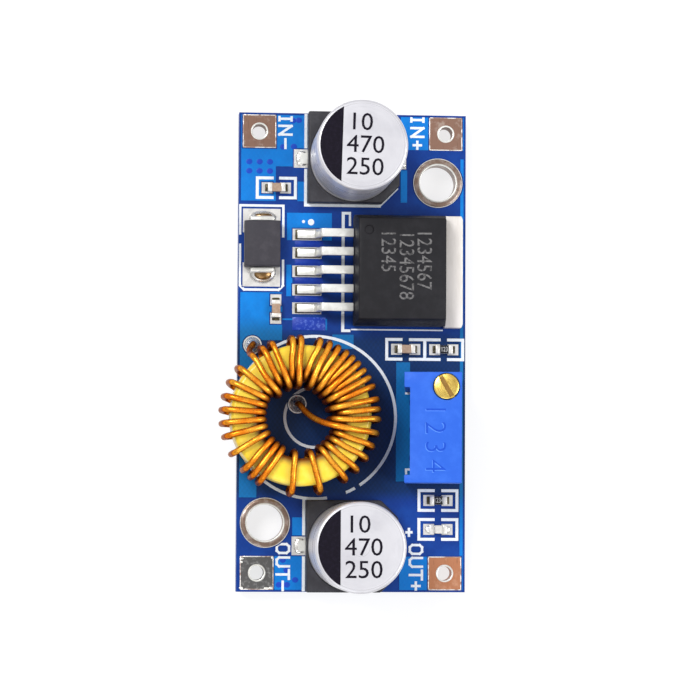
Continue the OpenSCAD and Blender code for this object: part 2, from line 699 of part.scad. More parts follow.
// Can with a crimped foot and a rounded top
module can(y) {
    r = can_d / 2;
    low = top + can_foot;
    high = top + can_top;
    neck_r = r - can_crimp;
    translate([0, y, 0]) rotate_extrude() union() {
        polygon([
            [0, low], [neck_r, low], [r, low + 0.3], [r, low + 1.0], [neck_r, low + 1.35],
            [neck_r, low + 1.65], [r, low + 2.0], [r, high - can_round], [r - can_round, high - can_round],
            [r - can_round, high], [0, high]
        ]);
        intersection() {
            translate([r - can_round, high - can_round]) circle(r = can_round);
            patch([r - can_round, high - can_round], [r, high]);
        }
    }
}

// Ink on the can's top: a black segment and three lines of numbers
module can_print(y, turned = 0) {
    face_r = can_d / 2 - can_round - 0.02;
    translate([0, y, top + can_top]) rotate(turned) linear_extrude(ink_t) {
        intersection() {
            circle(r = face_r);
            patch([-can_d, -can_d], [-segment_x, can_d]);
        }
        for (k = [0:2])
            translate([-segment_x + figure_in, (0.87 - 1.37 * k) * figure_h])
                label(["10", "470", "250"][k], figure_w, figure_h, 1.39 * figure_w, 0.2);
    }
}

// Square base with two cut corners, a well for the can and slots for the leads
module can_base(y) {
    s = base_side / 2;
    translate([0, y, top]) difference() {
        translate([0, 0, stand_h]) linear_extrude(base_h - stand_h) difference() {
            square(base_side, center = true);
            for (e = [-1, 1])
                translate([s, e * s]) rotate(45) square(base_chamfer * 1.414, center = true);
        }
        translate([0, 0, can_foot - can_gap]) cylinder(r = can_d / 2 + can_gap, h = base_h);
        for (e = [-1, 1])
            translate([e * s, 0, 0])
                cube([2 * can_lead_in + 0.2, can_lead_w + 0.04, 2 * (pad_t + can_lead_t + 0.01)],
                    center = true);
    }
}

module can_leads(y) {
    for (e = [-1, 1]) {
        a = e * (base_side / 2 - can_lead_in);
        b = e * (base_side / 2 + can_lead_out);
        slab([min(a, b), y - can_lead_w / 2, pad_top], [max(a, b), y + can_lead_w / 2, pad_top + can_lead_t]);
    }
}

module input_can() { color([0.85, 0.85, 0.9]) can(can_y); }
module input_can_print() { color(black) can_print(can_y, -ink_turn); }
module input_can_base() { color(black) can_base(can_y); }
module input_can_leads() { color(tin) can_leads(can_y); }
module output_can() { color([0.85, 0.85, 0.9]) can(-can_y); }
module output_can_print() { color(black) can_print(-can_y); }
module output_can_base() { color(black) can_base(-can_y); }
module output_can_leads() { color(tin) can_leads(-can_y); }

// ---- regulator ----

// Moulded body: widest at the split line, leaning in above and below
module regulator_body() {
    low = pad_top;
    high = top + reg_h;
    mid = top + reg_split;
    under = 0.15;
    color(black) difference() {
        intersection() {
            translate([0, reg_y + reg_w / 2, 0]) rotate([90, 0, 0]) linear_extrude(reg_w) polygon([
                [reg_left + under, low], [reg_right - under, low], [reg_right, mid],
                [reg_right - reg_lean * 0.4, high], [reg_left + reg_lean * 0.6, high], [reg_left, mid]
            ]);
            translate([reg_left, 0, 0]) rotate([90, 0, 90]) linear_extrude(reg_l) polygon([
                [reg_y - reg_w / 2 + under, low], [reg_y + reg_w / 2 - under, low],
                [reg_y + reg_w / 2, top + tab_t], [reg_y + reg_w / 2, mid],
                [reg_y + reg_w / 2 - reg_lean, high], [reg_y - reg_w / 2 + reg_lean, high],
                [reg_y - reg_w / 2, mid], [reg_y - reg_w / 2, top + tab_t]
            ]);
        }
        translate([reg_left + 1.6, reg_pads[4] + 0.45, high - 0.12]) cylinder(d = dimple_d, h = 1);
        slab([reg_right - tab_in, reg_y - reg_w / 2 + 0.6, 0],
            [reg_right + 1, reg_y + reg_w / 2 - 0.6, pad_top + tab_t]);
    }
}

// Tab: a narrow tongue under the body and a wide end beyond it, with cut corners
module regulator_tab() {
    wide = reg_w / 2;
    tongue = reg_w / 2 - 0.6;
    color([0.85, 0.83, 0.78]) translate([0, reg_y, pad_top]) linear_extrude(tab_t) union() {
        patch([reg_right - tab_in, -tongue], [reg_right + 0.1, tongue]);
        polygon([
            [reg_right, -wide], [tab_end - tab_chamfer * 0.4, -wide], [tab_end, -wide + tab_chamfer],
            [tab_end, wide - tab_chamfer], [tab_end - tab_chamfer * 0.4, wide], [reg_right, wide]
        ]);
    }
}

// Five bent leads, from the body down to their feet
module regulator_leads() {
    foot_end = lead_tip + lead_foot;
    high = top + lead_rise;
    color([0.9, 0.88, 0.82]) for (y = reg_pads)
        translate([0, y + lead_w / 2, 0]) rotate([90, 0, 0]) linear_extrude(lead_w) polygon([
            [lead_tip, pad_top], [foot_end, pad_top], [foot_end + 0.5, high],
            [reg_left, high], [reg_left, high + lead_t], [foot_end + 0.2, high + lead_t],
            [foot_end - 0.3, pad_top + lead_t], [lead_tip, pad_top + lead_t]
        ]);
}

// ---- diode ----

module diode_body() {
    low = top + stand_h;
    high = top + diode_h;
    mid = (low + high) / 2 + 0.1;
    lean = 0.12;
    color(black) difference() {
        intersection() {
            translate([diode_x, diode_y + diode_l / 2, 0]) rotate([90, 0, 0]) linear_extrude(diode_l) polygon([
                [-diode_w / 2 + lean, low], [diode_w / 2 - lean, low], [diode_w / 2, mid],
                [diode_w / 2 - lean, high], [-diode_w / 2 + lean, high], [-diode_w / 2, mid]
            ]);
            translate([diode_x - diode_w / 2, diode_y, 0]) rotate([90, 0, 90]) linear_extrude(diode_w) polygon([
                [-diode_l / 2, low], [diode_l / 2, low], [diode_l / 2, mid],
                [diode_l / 2 - lean, high], [-diode_l / 2 + lean, high], [-diode_l / 2, mid]
            ]);
        }
        slab([diode_x - diode_lead_w / 2 - 0.02, diode_y - diode_l, 0],
            [diode_x + diode_lead_w / 2 + 0.02, diode_y + diode_l, pad_top + diode_lead_t + 0.02]);
    }
}

// Two leads that leave the body's ends at mid height and fold under it
module diode_leads() {
    end = diode_l / 2;
    out = diode_l / 2 + diode_lead_out;
    t = diode_lead_t;
    mid = (top + stand_h + top + diode_h) / 2 + 0.1;
    color([0.9, 0.88, 0.82]) for (s = [0, 180])
        translate([diode_x, diode_y, 0]) rotate([0, 0, s]) translate([-diode_lead_w / 2, 0, 0])
            rotate([90, 0, 90]) linear_extrude(diode_lead_w) polygon([
                [end - 1.0, pad_top], [out - 0.12, pad_top], [out, pad_top + 0.15], [out, mid - 0.1],
                [out - 0.12, mid], [end, mid], [end, mid - t], [out - t, mid - t],
                [out - t, pad_top + t], [end - 1.0, pad_top + t]
            ]);
}

// ---- inductor ----

module inductor_core() {
    r_out = core_d / 2;
    r_in = core_bore / 2;
    c = core_round;
    color([0.95, 0.8, 0.15]) translate([coil_x, coil_y, 0]) rotate_extrude() union() {
        patch([r_in + c, core_low], [r_out - c, core_top]);
        patch([r_in, core_low + c], [r_out, core_top - c]);
        for (x = [r_in + c, r_out - c], y = [core_low + c, core_top - c])
            translate([x, y]) circle(r = c);
    }
}

// Point from a radius, a height and an angle around the coil's axis
function polar(r, z, a) = [r * cos(a), r * sin(a), z];

// The wire over one turn: up the bore, over the top, down the outside
function turn_over(t) =
    let (r = wire_in[t[2]], lift = wire_lift[t[2]], a = t[0], b = t[1], w = wire_over, u = wire_under)
    [
        polar(r, u + 1, a), polar(r, w - 1, a), polar(r + 0.22, w - 0.2 + lift * 0.8, a),
        polar(core_bore / 2 + 0.25, w + lift, a + (b - a) * 0.2),
        polar((core_bore + core_d) / 4, w + 0.05 + lift * 0.6, a + (b - a) * 0.5),
        polar(core_d / 2 - 0.25, w, a + (b - a) * 0.9), polar(wire_out - 0.2, w - 0.28, b)
    ];

// The wire from one turn's outside to the next turn's bore, under the core
function turn_under(t, n) =
    let (d = wire_drop[n[2]], b = t[1], a = n[0], u = wire_under)
    [
        polar(wire_out, wire_over - 1, b), polar(wire_out, u + 1, b), polar(wire_out - 0.2, u + 0.28, b),
        polar(core_d / 2 - 0.25, u - d * 0.55, b + (a - b) * 0.1),
        polar((core_bore + core_d) / 4, u - d, b + (a - b) * 0.5),
        polar(core_bore / 2 + 0.25, u - d, b + (a - b) * 0.85),
        polar(wire_in[n[2]] + 0.22, u + 0.2 - d * 0.8, a)
    ];

// The wire's first end: from its hole up through the bore and out over the top
lead_angle = -13;
lead_start = concat(
    [for (z = [-pad_t - tail, top, top + 1.4]) [coil_pad_b[0], coil_pad_b[1], z]],
    [
        [0.1, 1.05, top + 2.3], [0.55, 0.35, top + 3.8], [1.45, -0.4, wire_over - 0.8],
        [2.6, -0.85, wire_over + 0.35],
        polar(core_bore / 2 + 0.15, wire_over + 0.62, lead_angle - 3),
        polar((core_bore + core_d) / 4, wire_over + 0.42, lead_angle - 2),
        polar(core_d / 2 - 0.25, wire_over + 0.12, lead_angle - 0.5),
        polar(wire_out - 0.2, wire_over - 0.25, lead_angle)
    ]);

// The wire's last end: down the outside to its hole
lead_end = concat(
    [
        polar(wire_out + 0.05, wire_over - 1, 129.5), polar(wire_out + 0.23, top + 3.6, 129),
        polar(wire_out + 0.63, top + 2.3, 126.5)
    ],
    [for (z = [top + 1.3, top, -pad_t - tail]) [coil_pad_a[0], coil_pad_a[1], z]]);

last = len(turns) - 1;
wire_path = concat(
    lead_start,
    turn_under([0, lead_angle, 0], turns[0]),
    [for (k = [0:last - 1]) each concat(turn_over(turns[k]), turn_under(turns[k], turns[k + 1]))],
    turn_over(turns[last]),
    lead_end);

function unit(v) = v / norm(v);

// Direction of the path at point i
function heading(p, i) = unit(p[min(i + 1, len(p) - 1)] - p[max(i - 1, 0)]);

// A side direction at each point, carried along the path without twisting
function sides(p) = [
    for (i = 0, s = unit(cross(heading(p, 0), [1, 0, 0])); i < len(p);
        i = i + 1, s = i < len(p) ? unit(s - (s * heading(p, i)) * heading(p, i)) : s) s
];

// Tube of the given number of sides swept along a path
module tube(p, r, n) {
    s = sides(p);
    rings = [
        for (i = [0:len(p) - 1], k = [0:n - 1])
            let (u = s[i], v = cross(heading(p, i), s[i]))
            p[i] + r * (cos(360 * k / n) * u + sin(360 * k / n) * v)
    ];
    walls = [
        for (i = [0:len(p) - 2], k = [0:n - 1])
            let (a = i * n + k, b = i * n + (k + 1) % n)
            each [[a, a + n, b], [b, a + n, b + n]]
    ];
    start = [[for (k = [0:n - 1]) k]];
    end = [[for (k = [n - 1:-1:0]) (len(p) - 1) * n + k]];
    polyhedron(rings, concat(walls, start, end), convexity = 12);
}

module inductor_winding() {
    color([0.85, 0.45, 0.1]) translate([coil_x, coil_y, 0]) tube(wire_path, wire_r, 6);
}

// ---- trimmer ----

// Leans parts drawn upright about the trimmer's left foot
module leaning() {
    translate([trim_left, 0, foot_low]) rotate([0, -trim_lean, 0])
        translate([-trim_left, 0, -foot_low]) children();
}

// Box open below, with a bore for the screw and an axle for the rotor
module trimmer_housing() {
    color([0.25, 0.45, 0.95]) leaning() difference() {
        union() {
            difference() {
                union() {
                    slab([trim_left, trim_near, trim_low], [trim_right, trim_far, trim_high]);
                    for (rib = [[trim_near, trim_near + 0.7], [trim_far - 1.35, trim_far]])
                        slab([trim_left - rib_out, rib[0], trim_low], [trim_left + 0.1, rib[1], trim_high]);
                    for (x = [trim_left, trim_right - 0.9], y = [trim_near, trim_far - 0.9])
                        slab([x, y, foot_low], [x + 0.9, y + 0.9, trim_low + 0.1]);
                }
                slab([trim_left + trim_wall, trim_near + trim_wall, -1],
                    [trim_right - trim_wall, trim_far - trim_wall, roof_low]);
            }
            translate([rotor_x - rotor_t / 2 + 0.2, rotor_y, rotor_z]) rotate([0, 90, 0])
                cylinder(d = axle_d, h = wall_in - rotor_x + rotor_t / 2);
        }
        translate([screw_x, screw_y, roof_low - 0.05]) cylinder(d = screw_bore, h = trim_high);
    }
}

// Potting that closes the housing, with the screw's lower bearing
module trimmer_potting() {
    color([0.2, 0.2, 0.25]) leaning() difference() {
        slab([trim_left + trim_wall, trim_near + trim_wall, trim_low],
            [trim_right - trim_wall, trim_far - trim_wall, cavity_low]);
        translate([screw_x, screw_y, journal_low - 0.05]) cylinder(d = journal_d + 2 * run_gap, h = 2);
        for (y = pin_rows)
            translate([pin_x, y, -1]) cylinder(d = pin_d + 0.04, h = trim_top);
    }
}

// Each pin, with a small collar at its bend
module trimmer_pins() {
    low = -pad_t - tail;
    color(tin) for (y = pin_rows) union() {
        leaning() translate([pin_x, y, bend_low]) cylinder(d = pin_d, h = element_low - bend_low);
        translate([pin_bend[0], y, pin_bend[1] - 0.08]) cylinder(d = pin_d + 0.08, h = 0.16);
        translate([pin_bend[0], y, low]) cylinder(d = pin_d, h = pin_bend[1] - 0.05 - low);
    }
}

module trimmer_element() {
    color([0.9, 0.9, 0.86]) leaning() slab([element_left, trim_near + trim_wall + 0.3, element_low],
        [element_right, screw_y - 0.2, element_high]);
}

// Resistive arc and the collector ring inside it
module trimmer_track() {
    color([0.15, 0.15, 0.15]) leaning() translate([element_right, rotor_y, rotor_z]) rotate([0, 90, 0])
        linear_extrude(track_t) union() {
            difference() {
                circle(r = track_r + 0.35);
                circle(r = track_r - 0.35);
                translate([0.5, -0.6]) square([4, 1.2]);
            }
            difference() {
                circle(r = 1.0);
                circle(r = 0.5);
            }
        }
}

// Toothed wheel with a blind bore for the axle
module trimmer_rotor() {
    tooth = 0.28;
    root_r = rotor_d / 2 - tooth;
    color([0.93, 0.92, 0.88]) leaning() translate([rotor_x, rotor_y, rotor_z])
        rotate([0, 90, 0]) difference() {
        translate([0, 0, -rotor_t / 2]) linear_extrude(rotor_t) union() {
            circle(r = root_r);
            for (k = [0:rotor_teeth - 1])
                rotate(k * 360 / rotor_teeth) polygon([
                    [root_r - 0.2, -0.2], [root_r + tooth, -0.09], [root_r + tooth, 0.09], [root_r - 0.2, 0.2]
                ]);
        }
        translate([0, 0, -rotor_t / 2 + 0.15]) cylinder(d = axle_d + 2 * run_gap, h = rotor_t);
    }
}

// Spring contact on the rotor, with one foot on the arc and one on the ring
module trimmer_wiper() {
    back = rotor_x - rotor_t / 2;
    contact = element_right + track_t + run_gap;
    color([0.9, 0.75, 0.4]) leaning() translate([0, rotor_y, rotor_z]) {
        slab([back - 0.25, -0.45, -0.9], [back, 0.45, track_r + 0.3]);
        for (z = [-0.75, track_r])
            translate([contact, 0, z]) rotate([0, 90, 0]) cylinder(d = 0.4, h = back - 0.2 - contact);
    }
}

// Slotted head, neck for the seal, worm and lower journal
module trimmer_screw() {
    high = trim_high + screw_proud;
    color([0.85, 0.7, 0.3]) leaning() translate([screw_x, screw_y, 0]) difference() {
        union() {
            translate([0, 0, head_low]) cylinder(d = screw_d, h = high - head_low);
            translate([0, 0, neck_low - 0.1]) cylinder(d = neck_d, h = head_low - neck_low + 0.2);
            translate([0, 0, neck_low - 0.3]) cylinder(d = screw_d - 0.1, h = 0.3);
            translate([0, 0, worm_low]) cylinder(d = worm_d, h = neck_low - worm_low - 0.1);
            translate([0, 0, journal_low]) cylinder(d = journal_d, h = worm_low - journal_low + 0.1);
        }
        rotate(-60) translate([-screw_d, -slot_w / 2, high - slot_depth]) cube([2 * screw_d, slot_w, 2]);
    }
}

// Rubber seal around the screw's neck
module trimmer_o_ring() {
    color(black) leaning() translate([screw_x, screw_y, (head_low + neck_low) / 2]) rotate_extrude()
        translate([neck_d / 2 + seal_t / 2 + 0.01, 0]) circle(d = seal_t, $fn = 24);
}

// ---- small chips ----

// The middle of a chip, its metal ends, and a coat on top of a resistor
module chip_core(c, h, turned = 0) {
    skin = 0.03;
    translate([c[0], c[1], pad_top + skin]) rotate(turned)
        linear_extrude(h - 2 * skin) square([chip_l - 2 * skin, chip_w - 2 * skin], center = true);
}

module chip_ends(c, h, turned = 0) {
    skin = 0.03;
    translate([c[0], c[1], pad_top]) rotate(turned) for (s = [0, 180]) rotate(s) difference() {
        slab([chip_l / 2 - chip_end, -chip_w / 2, 0], [chip_l / 2, chip_w / 2, h]);
        slab([0, -chip_w / 2 + skin, skin], [chip_l / 2 - skin, chip_w / 2 - skin, h - skin]);
    }
}

module chip_coat(c, h) {
    skin = 0.03;
    translate([c[0], c[1], pad_top + h - skin]) linear_extrude(skin + 0.03)
        square([chip_l - 2 * chip_end - 0.06, chip_w - 0.08], center = true);
}

module input_chip_body() { color([0.72, 0.6, 0.5]) chip_core(input_chip, chip_h); }
module input_chip_ends() { color(tin) chip_ends(input_chip, chip_h); }
module boost_chip_body() { color([0.72, 0.55, 0.45]) chip_core(boost_chip, chip_h, 90); }
module boost_chip_ends() { color(tin) chip_ends(boost_chip, chip_h, 90); }
module filter_chip_body() { color([0.7, 0.6, 0.45]) chip_core(filter_chip, chip_h); }
module filter_chip_ends() { color(tin) chip_ends(filter_chip, chip_h); }
module feedback_resistor_body() { color("white") chip_core(feedback_chip, resistor_h); }
module feedback_resistor_coat() { color(black) chip_coat(feedback_chip, resistor_h); }
module feedback_resistor_ends() { color(tin) chip_ends(feedback_chip, resistor_h); }
module lamp_resistor_body() { color("white") chip_core(lamp_chip, resistor_h); }
module lamp_resistor_coat() { color(black) chip_coat(lamp_chip, resistor_h); }
module lamp_resistor_ends() { color(tin) chip_ends(lamp_chip, resistor_h); }

// Indicator lamp: a thin base with metal ends and a clear moulded lens
module lamp_base() { color("white") chip_core(led_chip, resistor_h * 0.7); }
module lamp_ends() { color(tin) chip_ends(led_chip, resistor_h * 0.7); }
module lamp_lens() {
    low = pad_top + resistor_h * 0.7 - 0.03;
    half = chip_l / 2 - chip_end - 0.02;
    color([0.9, 0.95, 0.85]) translate([led_chip[0], led_chip[1] + chip_w / 2 - 0.04, 0]) rotate([90, 0, 0])
        linear_extrude(chip_w - 0.08) polygon([
            [-half, low], [half, low], [half - 0.08, low + 0.4], [-half + 0.08, low + 0.4]
        ]);
}

circuit_board();
copper_areas();
board_print();
pad_input_minus();
pad_input_plus();
pad_output_minus();
pad_output_plus();
mounting_ring_input();
mounting_ring_output();
surface_pads();
through_hole_pads();
solder_joints();
input_can();
input_can_print();
input_can_base();
input_can_leads();
output_can();
output_can_print();
output_can_base();
output_can_leads();
regulator_body();
regulator_tab();
regulator_leads();
diode_body();
diode_leads();
inductor_core();
inductor_winding();
trimmer_housing();
trimmer_potting();
trimmer_pins();
trimmer_element();
trimmer_track();
trimmer_rotor();
trimmer_wiper();
trimmer_screw();
trimmer_o_ring();
input_chip_body();
input_chip_ends();
boost_chip_body();
boost_chip_ends();
filter_chip_body();
filter_chip_ends();
feedback_resistor_body();
feedback_resistor_coat();
feedback_resistor_ends();
lamp_resistor_body();
lamp_resistor_coat();
lamp_resistor_ends();
lamp_base();
lamp_lens();
lamp_ends();
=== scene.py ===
"""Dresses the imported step-down converter module: parts, finishes, studio and camera."""
import sys

import json
import logging
import math
from dataclasses import dataclass, field
from enum import Enum

import bmesh
import bpy
from mathutils import Euler, Matrix, Vector

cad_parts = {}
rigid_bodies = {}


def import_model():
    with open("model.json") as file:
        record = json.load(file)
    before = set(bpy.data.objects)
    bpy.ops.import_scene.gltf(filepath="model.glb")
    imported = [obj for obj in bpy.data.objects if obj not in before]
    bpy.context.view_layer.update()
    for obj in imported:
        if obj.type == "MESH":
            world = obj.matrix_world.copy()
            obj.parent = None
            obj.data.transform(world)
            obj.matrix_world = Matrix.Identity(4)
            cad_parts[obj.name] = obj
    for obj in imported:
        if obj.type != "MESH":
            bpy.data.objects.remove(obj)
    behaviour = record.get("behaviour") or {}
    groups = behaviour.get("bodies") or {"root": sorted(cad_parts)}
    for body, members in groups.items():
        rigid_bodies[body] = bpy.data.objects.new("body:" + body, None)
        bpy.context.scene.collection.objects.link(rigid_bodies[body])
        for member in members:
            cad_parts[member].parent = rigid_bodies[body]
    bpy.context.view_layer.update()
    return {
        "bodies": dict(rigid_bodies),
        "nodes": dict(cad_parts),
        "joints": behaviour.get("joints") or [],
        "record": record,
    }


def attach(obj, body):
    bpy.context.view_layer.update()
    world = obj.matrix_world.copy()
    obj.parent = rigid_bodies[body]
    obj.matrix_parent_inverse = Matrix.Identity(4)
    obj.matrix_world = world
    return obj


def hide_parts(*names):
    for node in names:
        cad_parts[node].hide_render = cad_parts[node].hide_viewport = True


log = logging.getLogger("module")
MM = 0.001
RGB = tuple[float, float, float]
Point = tuple[float, float, float]
Flat = tuple[float, float]
Socket = bpy.types.NodeSocket
Element = bmesh.types.BMVert | bmesh.types.BMEdge | bmesh.types.BMFace
SOLDER_Z = 1.65  # level that drops of solder stand on
FILLET_Z = 1.64  # level that fillets round a foot start from


class Body(Enum):
    """The moving bodies that a piece can ride on."""

    MODULE = "module"
    ADJUSTER = "adjuster"
    ROTOR = "rotor"


class Axis(Enum):
    """The direction that a flat outline is pulled along, as a turn of the outline's own Z."""

    X = Matrix(((0, 0, 1), (1, 0, 0), (0, 1, 0))).to_4x4()
    Y = Matrix(((1, 0, 0), (0, 0, -1), (0, 1, 0))).to_4x4()
    Z = Matrix.Identity(4)


# ---------------------------------------------------------------- finishes


class Nodes:
    """A short hand for one material's node tree on Object coordinates."""

    def __init__(self, name: str) -> None:
        """Starts an empty material.

        Args:
            name: The material's name.
        """
        self.material = bpy.data.materials.new(name)
        self.material.use_nodes = True
        self.tree = self.material.node_tree
        self.shader = self.tree.nodes["Principled BSDF"]
        self.coords = self.tree.nodes.new("ShaderNodeTexCoord").outputs["Object"]

    def add(self, kind: str, links: dict[str, Socket] | None = None, **values: object) -> bpy.types.Node:
        """Adds a node.

        Args:
            kind: The node's type.
            links: Sockets to join to its inputs, by the input's name.
            **values: Properties to set on the node.

        Returns:
            The new node.
        """
        node = self.tree.nodes.new(kind)
        for key, value in values.items():
            setattr(node, key, value)
        for key, socket in (links or {}).items():
            self.tree.links.new(socket, node.inputs[key])
        return node

    def place(self, stretch: Point = (1, 1, 1), turn: Point = (0, 0, 0), shift: Point = (0, 0, 0)) -> Socket:
        """Gives the Object coordinates, moved, turned and stretched.

        Args:
            stretch: Scale along each axis.
            turn: Angles in degrees.
            shift: Offset in millimetres.

        Returns:
            The vector socket.
        """
        node = self.add("ShaderNodeMapping", {"Vector": self.coords})
        node.inputs["Scale"].default_value = stretch
        node.inputs["Rotation"].default_value = [math.radians(a) for a in turn]
        node.inputs["Location"].default_value = [v * MM for v in shift]
        return node.outputs["Vector"]

    def noise(self, size_mm: float, detail: float = 3.0, vector: Socket | None = None) -> Socket:
        """Gives noise whose blobs are about size_mm across.

        Args:
            size_mm: Size of a blob in millimetres.
            detail: Octaves of finer noise.
            vector: Coordinates other than the plain ones.

        Returns:
            The value socket.
        """
        node = self.add("ShaderNodeTexNoise", {"Vector": vector or self.coords})
        node.inputs["Scale"].default_value = 1.0 / (size_mm * MM)
        node.inputs["Detail"].default_value = detail
        node.inputs["Roughness"].default_value = 0.6
        return node.outputs["Fac"]

    def part(self, axis: int, vector: Socket | None = None) -> Socket:
        """Gives one coordinate, in metres.

        Args:
            axis: 0, 1 or 2.
            vector: Coordinates other than the plain ones.

        Returns:
            The value socket.
        """
        return self.add("ShaderNodeSeparateXYZ", {"Vector": vector or self.coords}).outputs[axis]

    def reach(self, centre: Flat) -> Socket:
        """Gives the distance from an upright axis, in metres.

        Args:
            centre: Where the axis stands, in millimetres.

        Returns:
            The value socket.
        """
        vector = self.place(shift=(-centre[0], -centre[1], 0))
        x, y = self.part(0, vector), self.part(1, vector)
        squares = self.maths("ADD", self.maths("MULTIPLY", x, x), self.maths("MULTIPLY", y, y))
        return self.maths("SQRT", squares)

    def span(self, value: Socket, low: float, high: float, to_low: float = 0.0,
             to_high: float = 1.0) -> Socket:
        """Maps a value from one range to another, smoothly and clamped.

        Args:
            value: The value socket.
            low: Start of the range.
            high: End of the range.
            to_low: What the start becomes.
            to_high: What the end becomes.

        Returns:
            The mapped value's socket.
        """
        node = self.add("ShaderNodeMapRange", {"Value": value}, interpolation_type="SMOOTHSTEP")
        for key, number in (("From Min", low), ("From Max", high), ("To Min", to_low), ("To Max", to_high)):
            node.inputs[key].default_value = number
        return node.outputs["Result"]

    def maths(self, how: str, a: Socket, b: Socket | float = 0.0) -> Socket:
        """Joins two values.

        Args:
            how: The operation's name.
            a: First value.
            b: Second value or number.

        Returns:
            The result's socket.
        """
        node = self.add("ShaderNodeMath", {"Value": a}, operation=how)
        if isinstance(b, (int, float)):
            node.inputs[1].default_value = b
        else:
            self.tree.links.new(b, node.inputs[1])
        return node.outputs["Value"]

    def mix(self, share: Socket, a: Socket | RGB, b: Socket | RGB) -> Socket:
        """Mixes two colours.

        Args:
            share: How much of the second colour shows.
            a: First colour.
            b: Second colour.

        Returns:
            The colour socket.
        """
        node = self.add("ShaderNodeMix", data_type="RGBA", clamp_factor=True)
        self.tree.links.new(share, node.inputs["Factor"])
        for slot, colour in ((node.inputs[6], a), (node.inputs[7], b)):
            if isinstance(colour, tuple):
                slot.default_value = (*colour, 1.0)
            else:
                self.tree.links.new(colour, slot)
        return node.outputs[2]

    def colour(self, socket: Socket) -> None:
        """Joins a colour to the shader."""
        self.tree.links.new(socket, self.shader.inputs["Base Color"])

    def rough(self, socket: Socket) -> None:
        """Joins a roughness to the shader."""
        self.tree.links.new(socket, self.shader.inputs["Roughness"])

    def bump(self, height: Socket, depth_mm: float) -> None:
        """Adds relief.

        Args:
            height: The height's socket.
            depth_mm: Full depth in millimetres.
        """
        node = self.add("ShaderNodeBump", {"Height": height})
        node.inputs["Distance"].default_value = depth_mm * MM
        node.inputs["Strength"].default_value = 1.0
        if self.shader.inputs["Normal"].links:
            self.tree.links.new(self.shader.inputs["Normal"].links[0].from_socket, node.inputs["Normal"])
        self.tree.links.new(node.outputs["Normal"], self.shader.inputs["Normal"])


@dataclass(frozen=True)
class Finish:
    """A surface with patches of a second colour, uneven gloss and fine relief."""

    name: str
    slot: str
    base: RGB
    tint: RGB
    patch_mm: float = 0.6
    patch: tuple[float, float] = (0.4, 0.75)
    gloss: tuple[float, float] = (0.3, 0.45)
    gloss_mm: float = 0.25
    metal: float = 0.0
    coat: float = 0.0
    relief_mm: float = 0.004
    relief_size: float = 0.12
    stretch: Point = (1, 1, 1)
    shine: float = 0.5
    glow: float = 0.0

    def tone(self, nodes: Nodes, vector: Socket | None = None) -> Socket:
        """Gives the first colour with patches of the second."""
        share = nodes.span(nodes.noise(self.patch_mm, 4.0, vector), *self.patch)
        return nodes.mix(share, self.base, self.tint)

    def surface(self, nodes: Nodes, vector: Socket | None = None) -> None:
        """Joins the uneven gloss and the fine relief."""
        nodes.rough(nodes.span(nodes.noise(self.gloss_mm, 3.0, vector), 0.3, 0.7, *self.gloss))
        nodes.bump(nodes.noise(self.relief_size, 4.0, vector), self.relief_mm)

    def dress(self, nodes: Nodes) -> None:
        """Joins the colour, gloss and relief.

        Args:
            nodes: The material's nodes.
        """
        vector = nodes.place(self.stretch)
        nodes.colour(self.tone(nodes, vector))
        self.surface(nodes, vector)

    def material(self) -> bpy.types.Material:
        """Makes the material once and gives it again after that.

        Returns:
            The material.
        """
        label = f"{self.name}_finish"
        found = bpy.data.materials.get(label)
        if found:
            return found
        nodes = Nodes(label)
        shader = nodes.shader.inputs
        shader["Metallic"].default_value = self.metal
        shader["Coat Weight"].default_value = self.coat
        shader["Coat Roughness"].default_value = 0.12
        shader["Specular IOR Level"].default_value = self.shine
        shader["Emission Color"].default_value = (1, 1, 1, 1)
        shader["Emission Strength"].default_value = self.glow
        self.dress(nodes)
        return nodes.material


@dataclass(frozen=True)
class MaskFinish(Finish):
    """Solder mask over laminate: a faint glass weave, specks, and a darker band across the middle of the
    board that is painted shade.
    """

    shade_band: RGB | None = None
    shade_band_y: tuple[float, float, float, float] = (-14.0, -12.5, 0.8, 2.4)

    def dress(self, nodes: Nodes) -> None:
        """Joins the weave, the painted shade of the middle band and the specks.

        Args:
            nodes: The material's nodes.
        """
        along = nodes.maths("SINE", nodes.maths("MULTIPLY", nodes.part(0), 2 * math.pi / (0.42 * MM)))
        across = nodes.maths("SINE", nodes.maths("MULTIPLY", nodes.part(1), 2 * math.pi / (0.55 * MM)))
        weave = nodes.maths("MULTIPLY", along, across)
        tone = self.tone(nodes)
        # Painted shade: the tone darkens in a band across the middle of the board, where the coil, trimmer
        # and regulator stand.
        if self.shade_band:
            y = nodes.part(1)
            low, low_in, high_in, high = (v * MM for v in self.shade_band_y)
            inside = nodes.maths("MULTIPLY", nodes.span(y, low, low_in),
                                 nodes.span(y, high_in, high, 1.0, 0.0))
            tone = nodes.mix(inside, tone, self.shade_band)
        nodes.colour(nodes.mix(nodes.span(weave, -1.0, 1.0, 0.0, 0.16), tone, self.tint))
        nodes.bump(weave, 0.0015)
        self.surface(nodes)


@dataclass(frozen=True)
class PadFinish(Finish):
    """Tinned copper: brown where the tin is thin, silver in blotches, and fine scratches."""

    def dress(self, nodes: Nodes) -> None:
        """Joins the blotches, the scratches and the relief.

        Args:
            nodes: The material's nodes.
        """
        blotch = nodes.span(nodes.noise(self.patch_mm, 5.0), *self.patch)
        scratch = nodes.noise(0.08, 2.0, nodes.place((1, 0.06, 1), (0, 0, 32)))
        tone = nodes.mix(blotch, self.base, self.tint)
        dark = tuple(c * 0.6 for c in self.base)
        nodes.colour(nodes.mix(nodes.span(scratch, 0.58, 0.75, 0.0, 0.7), tone, dark))
        nodes.rough(nodes.span(blotch, 0.0, 1.0, *self.gloss))
        nodes.bump(scratch, self.relief_mm * 0.5)
        nodes.bump(nodes.noise(self.relief_size, 4.0), self.relief_mm)


